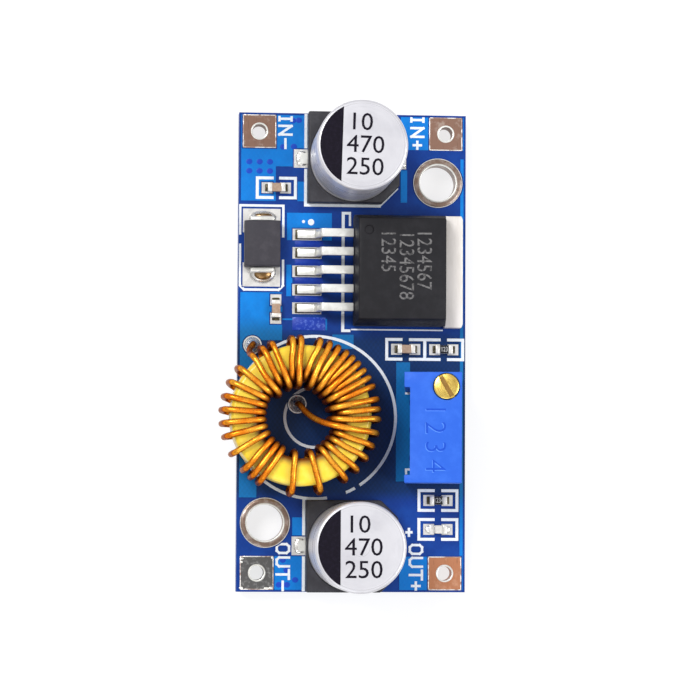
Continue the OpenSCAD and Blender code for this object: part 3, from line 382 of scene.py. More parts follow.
@dataclass(frozen=True)
class TurnedFinish(Finish):
    """Metal turned or drawn about an upright axis: rings on its end and fine lines round its side."""

    centre: Flat = (0.0, 0.0)
    ring_mm: float = 0.05

    def dress(self, nodes: Nodes) -> None:
        """Joins the rings to the colour, gloss and relief.

        Args:
            nodes: The material's nodes.
        """
        both = nodes.add("ShaderNodeCombineXYZ", {"X": nodes.reach(self.centre), "Z": nodes.part(2)})
        rings = nodes.noise(self.ring_mm, 3.0, both.outputs["Vector"])
        nodes.colour(nodes.mix(nodes.span(rings, 0.45, 0.7, 0.0, 0.2), self.tone(nodes), self.tint))
        nodes.rough(nodes.span(rings, 0.3, 0.7, *self.gloss))
        nodes.bump(rings, self.relief_mm)


@dataclass(frozen=True)
class EnamelFinish(Finish):
    """Copper wire under clear enamel: darker and lighter lengths, and sides darkened to brown as painted
    shade.
    """

    edge: RGB = (0.75, 0.4, 0.16)

    def material(self) -> bpy.types.Material:
        """Makes the enamel, whose glancing shine stays warm.

        Returns:
            The material.
        """
        material = super().material()
        shader = material.node_tree.nodes["Principled BSDF"].inputs
        shader["IOR"].default_value = 1.2
        shader["Specular Tint"].default_value = (*self.edge, 1.0)
        return material

    def dress(self, nodes: Nodes) -> None:
        """Joins the lengths' tones, the runs and the painted shade on the wire's sides.

        Args:
            nodes: The material's nodes.
        """
        length = nodes.span(nodes.noise(2.2, 2.0), 0.35, 0.7)
        mark = nodes.span(nodes.noise(0.9, 2.0), 0.6, 0.8, 0.0, 0.3)
        tone = nodes.mix(length, self.base, self.tint)
        # deep is the dark brown of the runs and of the painted shade: the wire's sides, where the normal
        # turns away from up, are darkened towards it.
        deep = tuple(c * k for c, k in zip(self.base, (0.3, 0.2, 0.15)))
        normal = nodes.add("ShaderNodeNewGeometry").outputs["Normal"]
        upward = nodes.add("ShaderNodeSeparateXYZ", {"Vector": normal})
        painted_flank_shade = nodes.span(upward.outputs["Z"], 0.1, 0.82)
        nodes.colour(nodes.mix(painted_flank_shade, deep, nodes.mix(mark, tone, deep)))
        nodes.rough(nodes.span(nodes.noise(self.gloss_mm), 0.3, 0.7, *self.gloss))
        nodes.bump(nodes.noise(self.relief_size, 3.0), self.relief_mm)


@dataclass(frozen=True)
class CoatFinish(Finish):
    """The core's dipped coat, darkened to brown at the edge of the bore as painted shade."""

    centre: Flat = (-5.0, -6.05)
    reach: tuple[float, float] = (3.95, 4.75)
    bore_shade: RGB = (0.24, 0.07, 0.006)

    def dress(self, nodes: Nodes) -> None:
        """Joins the coat's tones, the painted shade at the bore and the relief.

        Args:
            nodes: The material's nodes.
        """
        # Painted shade: the coat goes dark brown towards the bore, where the winding crowds and shade falls.
        clear = nodes.span(nodes.reach(self.centre), self.reach[0] * MM, self.reach[1] * MM)
        nodes.colour(nodes.mix(clear, self.bore_shade, self.tone(nodes)))
        self.surface(nodes)


@dataclass(frozen=True)
class ClearFinish(Finish):
    """Clear moulded resin with faint streaks."""

    def material(self) -> bpy.types.Material:
        """Makes the clear material.

        Returns:
            The material.
        """
        material = super().material()
        shader = material.node_tree.nodes["Principled BSDF"].inputs
        shader["Transmission Weight"].default_value = 0.35
        shader["IOR"].default_value = 1.5
        return material


# The darker band colours of the mask and of the mask on copper are painted shade.
MASK = MaskFinish(
    "blue_mask", "solder_mask_dark", (0.002, 0.034, 0.235), (0.004, 0.055, 0.31), patch_mm=3.0,
    gloss=(0.3, 0.4), relief_mm=0.002, relief_size=0.3, shade_band=(0.001, 0.024, 0.1), shine=0.2)
POUR = MaskFinish(
    "blue_mask_on_copper", "solder_mask_light", (0.001, 0.17, 0.58), (0.002, 0.22, 0.7), patch_mm=2.4,
    gloss=(0.28, 0.4), relief_mm=0.002, relief_size=0.3, shade_band=(0.004, 0.14, 0.38),
    shade_band_y=(-14.5, -13.0, 1.4, 3.4), shine=0.2)
VIA = Finish(
    "violet_mask_on_vias", "solder_mask_light", (0.006, 0.07, 0.5), (0.025, 0.05, 0.5), patch_mm=0.3,
    gloss=(0.3, 0.4), relief_mm=0.004, relief_size=0.15, shine=0.2)
PATCH = Finish(
    "royal_mask", "solder_mask_light", (0.012, 0.045, 0.4), (0.09, 0.17, 0.62), patch_mm=0.32,
    patch=(0.5, 0.72), gloss=(0.3, 0.4), relief_mm=0.008, relief_size=0.4, shine=0.25)
STRIP = Finish(
    "royal_strips", "solder_mask_dark", (0.003, 0.03, 0.3), (0.008, 0.05, 0.38), patch_mm=0.5,
    gloss=(0.3, 0.4), relief_mm=0.003, relief_size=0.3, shine=0.2)
INK = Finish(
    "white_print", "white_ink", (0.82, 0.86, 0.9), (0.62, 0.72, 0.82), patch_mm=0.25, patch=(0.5, 0.8),
    gloss=(0.5, 0.7), relief_mm=0.004, relief_size=0.09)
PAD_TIN = PadFinish(
    "worn_tin", "tinned_copper", (0.24, 0.133, 0.094), (0.38, 0.28, 0.23), patch_mm=1.1, patch=(0.52, 0.7),
    gloss=(0.42, 0.34), metal=0.25, relief_mm=0.003, relief_size=0.3, shine=0.25)
PAD_DULL = PadFinish(
    "dull_tin", "dull_tin", (0.096, 0.094, 0.093), (0.26, 0.26, 0.255), patch_mm=0.35, patch=(0.5, 0.75),
    gloss=(0.45, 0.34), metal=0.25, relief_mm=0.01, relief_size=0.2, shine=0.25)
EDGE_TIN = Finish(
    "edge_tin", "tinned_copper", (0.36, 0.24, 0.19), (0.86, 0.82, 0.78), patch_mm=0.8, patch=(0.42, 0.55),
    gloss=(0.3, 0.42), metal=0.3, relief_mm=0.004, relief_size=0.2)
PAD_COPPER = PadFinish(
    "bare_copper", "bare_copper", (0.46, 0.186, 0.09), (0.58, 0.29, 0.17), patch_mm=1.0, patch=(0.5, 0.72),
    gloss=(0.42, 0.34), metal=0.3, relief_mm=0.003, relief_size=0.3, shine=0.3)
RING_TIN = PadFinish(
    "ring_tin", "tinned_copper", (0.22, 0.145, 0.108), (0.43, 0.35, 0.31), patch_mm=0.9, patch=(0.42, 0.7),
    gloss=(0.34, 0.26), metal=0.5, relief_mm=0.002, relief_size=0.4)
SOLDER = Finish(
    "satin_solder", "solder", (0.86, 0.84, 0.8), (0.66, 0.64, 0.6), patch_mm=0.5, gloss=(0.22, 0.32),
    metal=0.8, relief_mm=0.002, relief_size=0.3)
# Painted shade and painted reflection: solder is silver, but these fillets are dark olive to stand in for the
# shadow and the dark reflection round each foot.
SHADED_FILLET = Finish(
    "painted_shade_fillet", "solder", (0.075, 0.062, 0.035), (0.3, 0.27, 0.18), patch_mm=0.35, patch=(0.5, 0.75),
    gloss=(0.22, 0.32), metal=0.4, relief_mm=0.002, relief_size=0.3, shine=0.3)
BOWL = Finish(
    "warm_solder", "solder", (0.24, 0.13, 0.045), (0.42, 0.27, 0.13), patch_mm=0.5, patch=(0.45, 0.62),
    gloss=(0.16, 0.26), metal=0.7, relief_mm=0.004, relief_size=0.5)
FOOT_TIN = Finish(
    "pad_tin", "tinned_copper", (0.74, 0.725, 0.7), (0.57, 0.555, 0.53), patch_mm=0.5, gloss=(0.3, 0.42),
    metal=0.5, relief_mm=0.003, relief_size=0.2)
LEAD_TIN = Finish(
    "lead_tin", "tinned_leads", (0.84, 0.835, 0.79), (0.7, 0.69, 0.64), patch_mm=0.5, gloss=(0.28, 0.4),
    metal=0.45, relief_mm=0.0015, relief_size=0.12)
TAB_TIN = Finish(
    "tab_tin", "tinned_tab", (0.84, 0.79, 0.75), (0.72, 0.67, 0.62), patch_mm=0.9, gloss=(0.38, 0.5),
    metal=0.2, relief_mm=0.003, relief_size=0.14, stretch=(1, 0.2, 1))
MOULDING = Finish(
    "black_moulding", "moulding", (0.0105, 0.01, 0.0125), (0.016, 0.0152, 0.0185), patch_mm=1.2,
    gloss=(0.42, 0.56), relief_mm=0.008, relief_size=0.08, shine=0.2)
DIODE_MOULDING = Finish(
    "grey_moulding", "moulding", (0.043, 0.04, 0.049), (0.057, 0.053, 0.063), patch_mm=0.9,
    gloss=(0.5, 0.65), relief_mm=0.006, relief_size=0.09, shine=0.22)
MARKING = Finish(
    "faint_marking", "moulding", (0.17, 0.165, 0.165), (0.05, 0.048, 0.05), patch_mm=0.22,
    patch=(0.45, 0.62), gloss=(0.55, 0.7), relief_mm=0.004, relief_size=0.06, shine=0.2)
BASE_PLASTIC = Finish(
    "base_plastic", "black_plastic", (0.034, 0.033, 0.04), (0.05, 0.049, 0.058), patch_mm=0.9,
    gloss=(0.4, 0.55), relief_mm=0.006, relief_size=0.12, shine=0.25)
CAN_INK = Finish(
    "can_ink", "black_ink", (0.006, 0.004, 0.01), (0.011, 0.008, 0.018), patch_mm=0.3, gloss=(0.5, 0.6),
    relief_mm=0.002, relief_size=0.08, shine=0.1)
CORE = CoatFinish(
    "yellow_coating", "core_paint", (1.0, 0.69, 0.035), (1.0, 0.79, 0.105), patch_mm=1.4, gloss=(0.3, 0.42),
    coat=0.2, relief_mm=0.008, relief_size=0.35, shine=0.35)
ENAMEL = EnamelFinish(
    "orange_enamel", "enamelled_wire", (0.84, 0.235, 0.015), (1.0, 0.45, 0.045), gloss=(0.24, 0.34),
    metal=0.6, relief_mm=0.0003, relief_size=0.8, shine=0.25)
BLUE = Finish(
    "blue_plastic", "blue_plastic", (0.028, 0.127, 0.66), (0.038, 0.152, 0.71), patch_mm=1.1,
    gloss=(0.4, 0.5), relief_mm=0.006, relief_size=0.12, shine=0.14)
# Painted shade and painted highlight: the engraved figures are a darker and a lighter copy of the housing's
# blue.
BLUE_ENGRAVING_SHADE = Finish(
    "blue_engraving", "blue_plastic", (0.016, 0.08, 0.55), (0.022, 0.095, 0.6), patch_mm=0.3,
    gloss=(0.5, 0.6), relief_mm=0.003, relief_size=0.08, shine=0.08)
BLUE_ENGRAVING_HIGHLIGHT = Finish(
    "blue_engraving_highlight", "blue_plastic", (0.08, 0.24, 0.86), (0.1, 0.28, 0.88), patch_mm=0.3,
    gloss=(0.4, 0.5), relief_mm=0.003, relief_size=0.08, shine=0.2)
# Painted shade: the dark brass of the sheet that lies in the screw's slot.
SLOT_SHADE_BRASS = Finish(
    "slot_painted_shade", "brass", (0.3, 0.17, 0.04), (0.4, 0.24, 0.07), patch_mm=0.3, gloss=(0.4, 0.5), metal=0.6,
    relief_mm=0.002, relief_size=0.1)
POTTING = Finish(
    "potting", "potting", (0.03, 0.032, 0.05), (0.05, 0.052, 0.07), gloss=(0.2, 0.4), relief_size=0.5,
    relief_mm=0.02)
ALUMINA = Finish(
    "alumina", "alumina", (0.72, 0.72, 0.69), (0.62, 0.62, 0.58), patch_mm=0.3, gloss=(0.4, 0.6))
CERMET = Finish(
    "cermet", "cermet", (0.06, 0.06, 0.06), (0.1, 0.1, 0.1), patch_mm=0.1, gloss=(0.4, 0.6))
WHITE_PLASTIC = Finish(
    "rotor_plastic", "white_plastic", (0.8, 0.78, 0.7), (0.74, 0.72, 0.64), gloss=(0.35, 0.5))
SPRING = Finish(
    "spring_alloy", "spring_alloy", (0.75, 0.56, 0.25), (0.6, 0.45, 0.2), gloss=(0.2, 0.35), metal=1.0)
SEAL = Finish(
    "seal_rubber", "seal_rubber", (0.025, 0.025, 0.025), (0.04, 0.04, 0.04), gloss=(0.6, 0.8))
TAN = Finish(
    "tan_ceramic", "tan_ceramic", (0.37, 0.245, 0.165), (0.46, 0.33, 0.24), patch_mm=0.25,
    gloss=(0.35, 0.5), relief_mm=0.003, relief_size=0.06)
CHIP_TIN = Finish(
    "chip_tin", "chip_metal", (0.86, 0.84, 0.79), (0.66, 0.63, 0.57), patch_mm=0.25, gloss=(0.3, 0.4),
    metal=0.4, relief_mm=0.001, relief_size=0.1)
GLAZE = Finish(
    "black_glaze", "resistor_coat", (0.012, 0.012, 0.014), (0.03, 0.03, 0.034), patch_mm=0.2,
    gloss=(0.2, 0.3), relief_mm=0.002, relief_size=0.1, shine=0.3)
PALE_FIGURE = Finish(
    "pale_figures", "white_ink", (0.6, 0.6, 0.58), (0.45, 0.45, 0.44), patch_mm=0.1, gloss=(0.5, 0.7))
RESIN = ClearFinish(
    "clear_resin", "clear_resin", (1.0, 0.97, 0.9), (0.95, 0.92, 0.84), patch_mm=0.4, gloss=(0.15, 0.25),
    relief_mm=0.002, relief_size=0.3)


# ---------------------------------------------------------------- shapes


def linked(name: str, data: bpy.types.ID) -> bpy.types.Object:
    """Makes an object of some data and puts it in the scene."""
    thing = bpy.data.objects.new(name, data)
    bpy.context.scene.collection.objects.link(thing)
    return thing


def everything(mesh: bmesh.types.BMesh) -> list[Element]:
    """Gives a mesh's vertices, edges and faces in one list."""
    return [*mesh.verts, *mesh.edges, *mesh.faces]


class Shape:
    """One piece under construction, in millimetres, in the module's own frame."""

    def __init__(self) -> None:
        """Starts an empty mesh."""
        self.mesh = bmesh.new()

    def cube(self, low: Point, high: Point) -> list[bmesh.types.BMVert]:
        """Adds a sharp box and gives its vertices."""
        size = [b - a for a, b in zip(low, high)]
        middle = [(a + b) / 2 for a, b in zip(low, high)]
        put = Matrix.Translation(middle) @ Matrix.Diagonal((*size, 1.0))
        return bmesh.ops.create_cube(self.mesh, size=1.0, matrix=put)["verts"]

    def level(self, z: float) -> None:
        """Cuts the faces along a level and takes nothing away."""
        bmesh.ops.bisect_plane(self.mesh, geom=everything(self.mesh), plane_co=(0, 0, z), plane_no=(0, 0, 1))

    def soften(self, faces: list[bmesh.types.BMFace], radius: float, segments: int,
               least: float = 25.0) -> None:
        """Rounds the sharp edges of some faces.

        Args:
            faces: The faces.
            radius: Size of the round.
            segments: Steps in the round.
            least: Smallest angle, in degrees, that counts as sharp.
        """
        edges = list({edge for face in faces for edge in face.edges})
        sharp = [e for e in edges if len(e.link_faces) == 2 and e.calc_face_angle() > math.radians(least)]
        bmesh.ops.bevel(self.mesh, geom=sharp, offset=radius, offset_type="OFFSET", affect="EDGES",
                        segments=segments, profile=0.5, material=-1, clamp_overlap=True)

    def block(self, low: Point, high: Point, radius: float = 0.05, segments: int = 2) -> "Shape":
        """Adds a box with rounded edges.

        Args:
            low: Lowest corner.
            high: Highest corner.
            radius: Size of the edges' round.
            segments: Steps in the round.

        Returns:
            This shape.
        """
        faces = list({f for v in self.cube(low, high) for f in v.link_faces})
        if radius:
            self.soften(faces, radius, segments)
        return self

    def slab(self, outline: list[Flat], low: float, high: float, axis: Axis = Axis.Z, radius: float = 0.05,
             segments: int = 2, least: float = 25.0) -> "Shape":
        """Adds a flat outline pulled to a thickness, with rounded edges.

        Args:
            outline: The outline's corners.
            low: Where it starts along the axis.
            high: Where it ends along the axis.
            axis: The axis that it is pulled along.
            radius: Size of the edges' round.
            segments: Steps in the round.
            least: Smallest angle that is rounded, in degrees.

        Returns:
            This shape.
        """
        turn = axis.value
        corners = [self.mesh.verts.new(turn @ Vector((*point, low))) for point in outline]
        start = self.mesh.faces.new(corners)
        made = bmesh.ops.extrude_face_region(self.mesh, geom=[start])["geom"]
        moved = [v for v in made if isinstance(v, bmesh.types.BMVert)]
        bmesh.ops.translate(self.mesh, verts=moved, vec=turn.to_3x3() @ Vector((0, 0, high - low)))
        faces = list({f for v in moved + corners for f in v.link_faces})
        bmesh.ops.recalc_face_normals(self.mesh, faces=faces)
        if radius:
            self.soften(faces, radius, segments, least)
        return self

    def lathe(self, profile: list[Flat], centre: Point, axis: Axis = Axis.Z, steps: int = 96) -> "Shape":
        """Adds a profile turned about an axis.

        Args:
            profile: Pairs of radius and height, from one end to the other.
            centre: A point on the axis, from which heights are counted.
            axis: The axis.
            steps: Steps in the turn.

        Returns:
            This shape.
        """
        put = Matrix.Translation(centre) @ axis.value
        verts = [self.mesh.verts.new(put @ Vector((r, 0, z))) for r, z in profile]
        edges = [self.mesh.edges.new(pair) for pair in zip(verts, verts[1:])]
        if profile[0][0] > 0 and profile[-1][0] > 0:
            edges.append(self.mesh.edges.new((verts[-1], verts[0])))
        bmesh.ops.spin(self.mesh, geom=verts + edges, cent=centre, axis=put.to_3x3() @ Vector((0, 0, 1)),
                       angle=2 * math.pi, steps=steps, use_merge=True, use_duplicate=False)
        bmesh.ops.remove_doubles(self.mesh, verts=self.mesh.verts, dist=1e-5)
        bmesh.ops.recalc_face_normals(self.mesh, faces=self.mesh.faces)
        return self

    def mound(self, low: Point, high: Point, top: float = 0.6, radius: float = 0.12) -> "Shape":
        """Adds a block whose top is drawn in, as solder lies round a foot.

        Args:
            low: Lowest corner.
            high: Highest corner.
            top: Size of the top as a share of the bottom's.
            radius: Size of the edges' round.

        Returns:
            This shape.
        """
        corners = self.cube(low, high)
        middle = Vector([(a + b) / 2 for a, b in zip(low, high)])
        inset = min(high[0] - low[0], high[1] - low[1]) * (1 - top) / 2
        for v in corners:
            if v.co.z > middle.z:
                v.co.x += math.copysign(inset, middle.x - v.co.x)
                v.co.y += math.copysign(inset, middle.y - v.co.y)
        self.soften(list({f for v in corners for f in v.link_faces}), radius, 3)
        return self

    def drop(self, centre: Flat, z: float, reach: Flat, height: float, fine: int = 3) -> "Shape":
        """Adds half an egg that stands on a level, as a drop of solder does.

        Args:
            centre: Its middle.
            z: Height of its foot.
            reach: How far it spreads along X and Y.
            height: How high it stands.
            fine: How finely it is made.

        Returns:
            This shape.
        """
        part = bmesh.new()
        put = Matrix.Translation((*centre, z)) @ Matrix.Diagonal((*reach, height, 1.0))
        bmesh.ops.create_icosphere(part, subdivisions=fine, radius=1.0, matrix=put)
        bmesh.ops.bisect_plane(part, geom=everything(part), dist=1e-6, clear_inner=True,
                               plane_co=(0, 0, z - height * 0.05), plane_no=(0, 0, 1))
        bmesh.ops.holes_fill(part, edges=[e for e in part.edges if e.is_boundary], sides=0)
        bmesh.ops.recalc_face_normals(part, faces=part.faces)
        self.join(part)
        return self

    def join(self, part: bmesh.types.BMesh) -> None:
        """Adds another mesh under construction and frees it.

        Args:
            part: The mesh.
        """
        data = bpy.data.meshes.new("part")
        part.to_mesh(data)
        part.free()
        self.mesh.from_mesh(data)
        bpy.data.meshes.remove(data)

    def take(self, thing: bpy.types.Object) -> "Shape":
        """Adds another object's finished mesh, made in millimetres, and removes that object.

        Args:
            thing: The object.

        Returns:
            This shape.
        """
        bpy.context.view_layer.update()
        done = thing.evaluated_get(bpy.context.evaluated_depsgraph_get()).to_mesh()
        self.mesh.from_mesh(done)
        bpy.data.objects.remove(thing)
        return self

    def done(self, name: str, finish: Finish, body: Body = Body.MODULE, replaces: tuple[str, ...] = (),
             smooth: float | None = 40.0) -> bpy.types.Object:
        """Turns the shape into a piece of the scene.

        Args:
            name: The piece's name.
            finish: Its finish.
            body: The body that it rides on.
            replaces: CAD nodes that it stands for.
            smooth: Angle, in degrees, under which edges are shaded smooth, or None for flat faces.

        Returns:
            The piece.
        """
        bmesh.ops.scale(self.mesh, vec=(MM, MM, MM), verts=self.mesh.verts)
        data = bpy.data.meshes.new(name)
        self.mesh.to_mesh(data)
        self.mesh.free()
        if smooth is not None:
            data.shade_smooth()
            data.set_sharp_from_angle(angle=math.radians(smooth))
        piece = linked(name, data)
        data.materials.append(finish.material())
        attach(piece, body.value)
        if replaces:
            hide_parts(*replaces)
        log.info("%s: %d faces", name, len(data.polygons))
        return piece


def bored(solid: "Shape", cutter: "Shape") -> "Shape":
    """Takes one shape out of another.

    Args:
        solid: The shape that is cut.
        cutter: The shape that cuts.

    Returns:
        The cut shape.
    """
    things = []
    for label, shape in (("solid", solid), ("cutter", cutter)):
        data = bpy.data.meshes.new(label)
        shape.mesh.to_mesh(data)
        shape.mesh.free()
        things.append(linked(label, data))
    cut = things[0].modifiers.new("cut", "BOOLEAN")
    cut.object = things[1]
    cut.operation = "DIFFERENCE"
    cut.solver = "EXACT"
    result = Shape().take(things[0])
    bpy.data.objects.remove(things[1])
    return result


def wire(points: list[Point], radius: float, around: int = 12, smooth: int = 5) -> Shape:
    """A round wire along a smooth curve through points.

    Args:
        points: The route.
        radius: Radius of the wire.
        around: Sides of the wire.
        smooth: Steps between two points.

    Returns:
        The shape.
    """
    curve = bpy.data.curves.new("route", "CURVE")
    curve.dimensions = "3D"
    spline = curve.splines.new("BEZIER")
    spline.bezier_points.add(len(points) - 1)
    for knot, point in zip(spline.bezier_points, points):
        knot.co = point
        knot.handle_left_type = knot.handle_right_type = "AUTO"
    spline.resolution_u = smooth
    curve.bevel_depth = radius
    curve.bevel_resolution = around // 4
    curve.use_fill_caps = True
    return Shape().take(linked("route", curve))


def figures(text: str, size: float, place: Matrix, thick: float, stretch: float = 1.0,
            slim: float = 0.0) -> Shape:
    """Plain figures as a thin mesh.

    Args:
        text: The figures.
        size: Height of a line.
        place: Where they lie.
        thick: How thick they are.
        stretch: Width against the font's own.
        slim: How far the strokes' edges draw in.

    Returns:
        The shape.
    """
    words = bpy.data.curves.new("figures", "FONT")
    words.body = text
    words.size = size
    words.extrude = thick / 2
    words.offset = -slim
    words.align_x = "CENTER"
    words.align_y = "CENTER"
    words.resolution_u = 3
    shape = Shape().take(linked("figures", words))
    spread = place @ Matrix.Diagonal((stretch, 1, 1, 1))
    bmesh.ops.transform(shape.mesh, matrix=spread, verts=shape.mesh.verts)
    bmesh.ops.remove_doubles(shape.mesh, verts=shape.mesh.verts, dist=1e-5)
    bmesh.ops.recalc_face_normals(shape.mesh, faces=shape.mesh.faces)
    return shape


def paint_node(name: str, finish: Finish) -> None:
    """Gives a carried-over CAD node its finish.

    Args:
        name: The node's name.
        finish: The finish.
    """
    node = FRAME["nodes"][name]
    node.data.materials.clear()
    node.data.materials.append(finish.material())
    log.info("%s: finished in %s", name, finish.name)


FRAME: dict = {}


# ---------------------------------------------------------------- parts


@dataclass
class Board:
    """The bare board with its copper, print, pads, vias and mounting rings."""

    top: float = 1.6
    pour: float = 0.04
    mount: Flat = (7.9, 15.7)
    mount_bore: float = 1.65
    mount_ring: float = 2.3
    terminal: Flat = (8.625, 20.275)
    terminal_bore: float = 0.65
    vias: dict[str, list[Flat]] = field(default_factory=lambda: {
        "vias_input": [(-9.55 + 0.95 * i, 16.6 + 0.85 * j) for i in range(3) for j in range(2)],
        "vias_corner": [(-6.45, 18.85), (-5.45, 18.9), (-5.0, 21.35), (-5.55, 21.3)],
        "vias_return": [(-6.25, -19.1), (-5.9, -20.0), (-6.6, -21.35), (-5.85, -21.35), (-5.1, -20.9)],
    })

    def paint(self) -> None:
        """Finishes the carried-over board nodes."""
        for name, finish in (
            ("circuit_board", MASK), ("copper_areas", POUR), ("board_print", INK), ("surface_pads", FOOT_TIN),
            ("through_hole_pads", FOOT_TIN), ("solder_joints", SOLDER), ("pad_input_minus", PAD_TIN),
            ("pad_input_plus", PAD_TIN), ("pad_output_minus", PAD_DULL), ("pad_output_plus", PAD_COPPER),
            ("mounting_ring_input", RING_TIN), ("mounting_ring_output", RING_TIN),
        ):
            paint_node(name, finish)

    def build(self) -> None:
        """Adds the vias and the tin that stands on the mounting rings and in the terminal holes."""
        for name, places in self.vias.items():
            dots = Shape()
            for place in places:
                dots.drop(place, self.top + self.pour, (0.3, 0.27), 0.014, 2)
            dots.done(name, VIA)
        skin = self.top + self.pour
        patch = Shape().block((-5.5, 1.95, skin - 0.02), (-2.45, 3.15, skin + 0.012), 0.005)
        patch.done("royal_patch", PATCH)
        strips = Shape()
        for k in range(4):
            y = 4.82 + 1.7 * k
            strips.block((-5.3, y - 0.27, self.top - 0.02), (-2.7, y + 0.27, self.top + 0.012), 0.005)
        strips.done("royal_strips", STRIP)
        rims = Shape()
        corners = [(sx * self.terminal[0], sy * self.terminal[1]) for sx in (-1, 1) for sy in (-1, 1)]
        r = self.terminal_bore
        rim = [(r + 0.005, 0.02), (r + 0.005, 0.085), (r + 0.06, 0.11), (r + 0.13, 0.1), (r + 0.17, 0.05)]
        for corner in corners:
            rims.lathe(rim, (*corner, self.top), steps=48)
        for dx, dy, reach in ((-1.38, 1.3, 0.2), (-1.42, -1.36, 0.2), (0.9, -1.4, 0.28), (1.3, -1.38, 0.24),
                              (-1.38, 1.0, 0.14), (1.4, 1.38, 0.12)):
            spot = (-self.terminal[0] + dx, -self.terminal[1] + dy)
            rims.drop(spot, self.top + 0.05, (reach, 0.12), 0.05, 2)
        rims.done("terminal_rims", LEAD_TIN)
        frames, a, t = Shape(), 1.54, 0.09
        z = self.top + 0.03
        for x, y in corners:
            for low, high in (((-a, a - t), (a, a)), ((-a, -a), (a, t - a)), ((-a, -a), (t - a, a)),
                              ((a - t, -a), (a, a))):
                frames.block((x + low[0], y + low[1], z), (x + high[0], y + high[1], z + 0.055), 0.02)
        frames.done("terminal_edges", EDGE_TIN)
        edges = Shape()
        for label, side in (("input", 1), ("output", -1)):
            centre = (side * self.mount[0], side * self.mount[1], self.top)
            ring, bore = self.mount_ring, self.mount_bore
            edges.lathe([(ring - 0.09, 0.04), (ring - 0.07, 0.12), (ring - 0.03, 0.12), (ring, 0.04)], centre)
            edges.lathe([(bore + 0.004, 0.0), (bore + 0.004, 0.15), (bore + 0.1, 0.165), (bore + 0.18, 0.1)],
                        centre)
            inner, outer = bore + 0.03, ring - 0.03
            profile = [(outer, 0.05), (outer - 0.06, 0.1), (outer - 0.25, 0.135), (inner + 0.2, 0.135),
                       (inner + 0.05, 0.1), (inner, 0.03)]
            Shape().lathe(profile, centre).done(f"mounting_tin_{label}", RING_TIN)
        edges.done("mounting_rims", LEAD_TIN)


@dataclass
class CanCapacitor:
    """A can capacitor on its plastic base."""

    name: str
    y: float
    top: float = 12.0
    radius: float = 4.06
    foot: float = 2.27
    crimp: float = 0.25
    round: float = 0.27
    base: float = 8.4
    chamfer: float = 1.6
    base_low: float = 1.72
    base_high: float = 3.3
    turn: float = 0.0
    chord: float = 1.8
    ink: float = 3.78
    film: float = 0.025
    rows: tuple[tuple[str, float, float], ...] = (
        ("10", -0.25, 1.98), ("470", 0.26, -0.02), ("250", 0.26, -2.0))

    def can(self) -> None:
        """Adds the can with its crimp and rounded edge."""
        r, high, low = self.radius, self.top, self.foot
        edge = [(r - self.round + self.round * math.sin(a), high - self.round + self.round * math.cos(a))
                for a in (math.pi / 2 * k / 8 for k in range(9, -1, -1)) if a <= math.pi / 2]
        neck = r - self.crimp
        profile = [(0, low), (neck - 0.25, low), (neck, low + 0.06), (r - 0.03, low + 0.28), (r, low + 0.4),
                   (r, low + 0.9), (r - 0.05, low + 1.05), (neck + 0.03, low + 1.3), (neck, low + 1.42),
                   (neck, low + 1.58), (neck + 0.03, low + 1.7), (r - 0.05, low + 1.95), (r, low + 2.12)]
        profile += edge
        profile += [(0, high)]
        can_metal = TurnedFinish(f"{self.name}_metal", "can_aluminium", (0.7, 0.69, 0.725), (0.61, 0.6, 0.64),
                                 patch_mm=3.0, gloss=(0.26, 0.36), metal=0.4, relief_mm=0.0001, ring_mm=0.3,
                                 centre=(0.0, self.y))
        Shape().lathe(profile, (0, self.y, 0), steps=128).done(self.name, can_metal, replaces=(self.name,),
                                                               smooth=35.0)

    def seat(self) -> None:
        """Adds the base with its rim, and solder at the leads."""
        s, c = self.base / 2, self.chamfer
        outline = [(-s, self.y - s), (s - c, self.y - s), (s, self.y - s + c), (s, self.y + s - c),
                   (s - c, self.y + s), (-s, self.y + s)]
        slab = Shape().slab(outline, self.base_low, self.base_high, radius=0.14, segments=3)
        r, floor, mouth = self.radius + 0.05, self.foot - 0.05, self.base_high + 1
        well = Shape().lathe([(0, floor), (r, floor), (r, mouth), (0, mouth)], (0, self.y, 0))
        seat = bored(slab, well)
        for end in (-1, 1):
            x = end * (s - 1.2)
            notch = Shape().block((x - 1.4, self.y - 0.55, 1.0), (x + 1.4, self.y + 0.55, 1.9), 0.0)
            seat = bored(seat, notch)
        seat.done(f"{self.name}_seat", BASE_PLASTIC, replaces=(f"{self.name}_base",))
        solder = Shape()
        for end in (-1, 1):
            x = end * (s + 0.45) - 0.08
            for aside in (-0.5, 0.5):
                solder.drop((x, self.y + aside), SOLDER_Z, (0.42, 0.22), 0.16)
        solder.drop((-s - 0.72, self.y), SOLDER_Z, (0.36, 0.6), 0.17)
        solder.done(f"{self.name}_solder", SOLDER)

    def printing(self) -> None:
        """Adds the black segment and the three rows of figures on the can's end."""
        half = math.degrees(math.acos(self.chord / self.ink))
        arc = [math.radians(180 - half + half * k / 24) for k in range(49)]
        ink = Shape().slab([(self.ink * math.cos(a), self.ink * math.sin(a)) for a in arc], -0.01, self.film,
                           radius=0.0)
        for text, x, y in self.rows:
            place = Matrix.Translation((x, y, self.film / 2))
            ink.join(figures(text, 2.2, place, self.film, 1.04).mesh)
        turn = Matrix.Translation((0, self.y, self.top)) @ Matrix.Rotation(math.radians(self.turn), 4, "Z")
        bmesh.ops.transform(ink.mesh, matrix=turn, verts=ink.mesh.verts)
        ink.done(f"{self.name}_figures", CAN_INK, replaces=(f"{self.name}_print",), smooth=None)

    def build(self) -> None:
        """Builds the can and its base and finishes its CAD nodes."""
        self.can()
        self.seat()
        self.printing()
        paint_node(f"{self.name}_leads", LEAD_TIN)


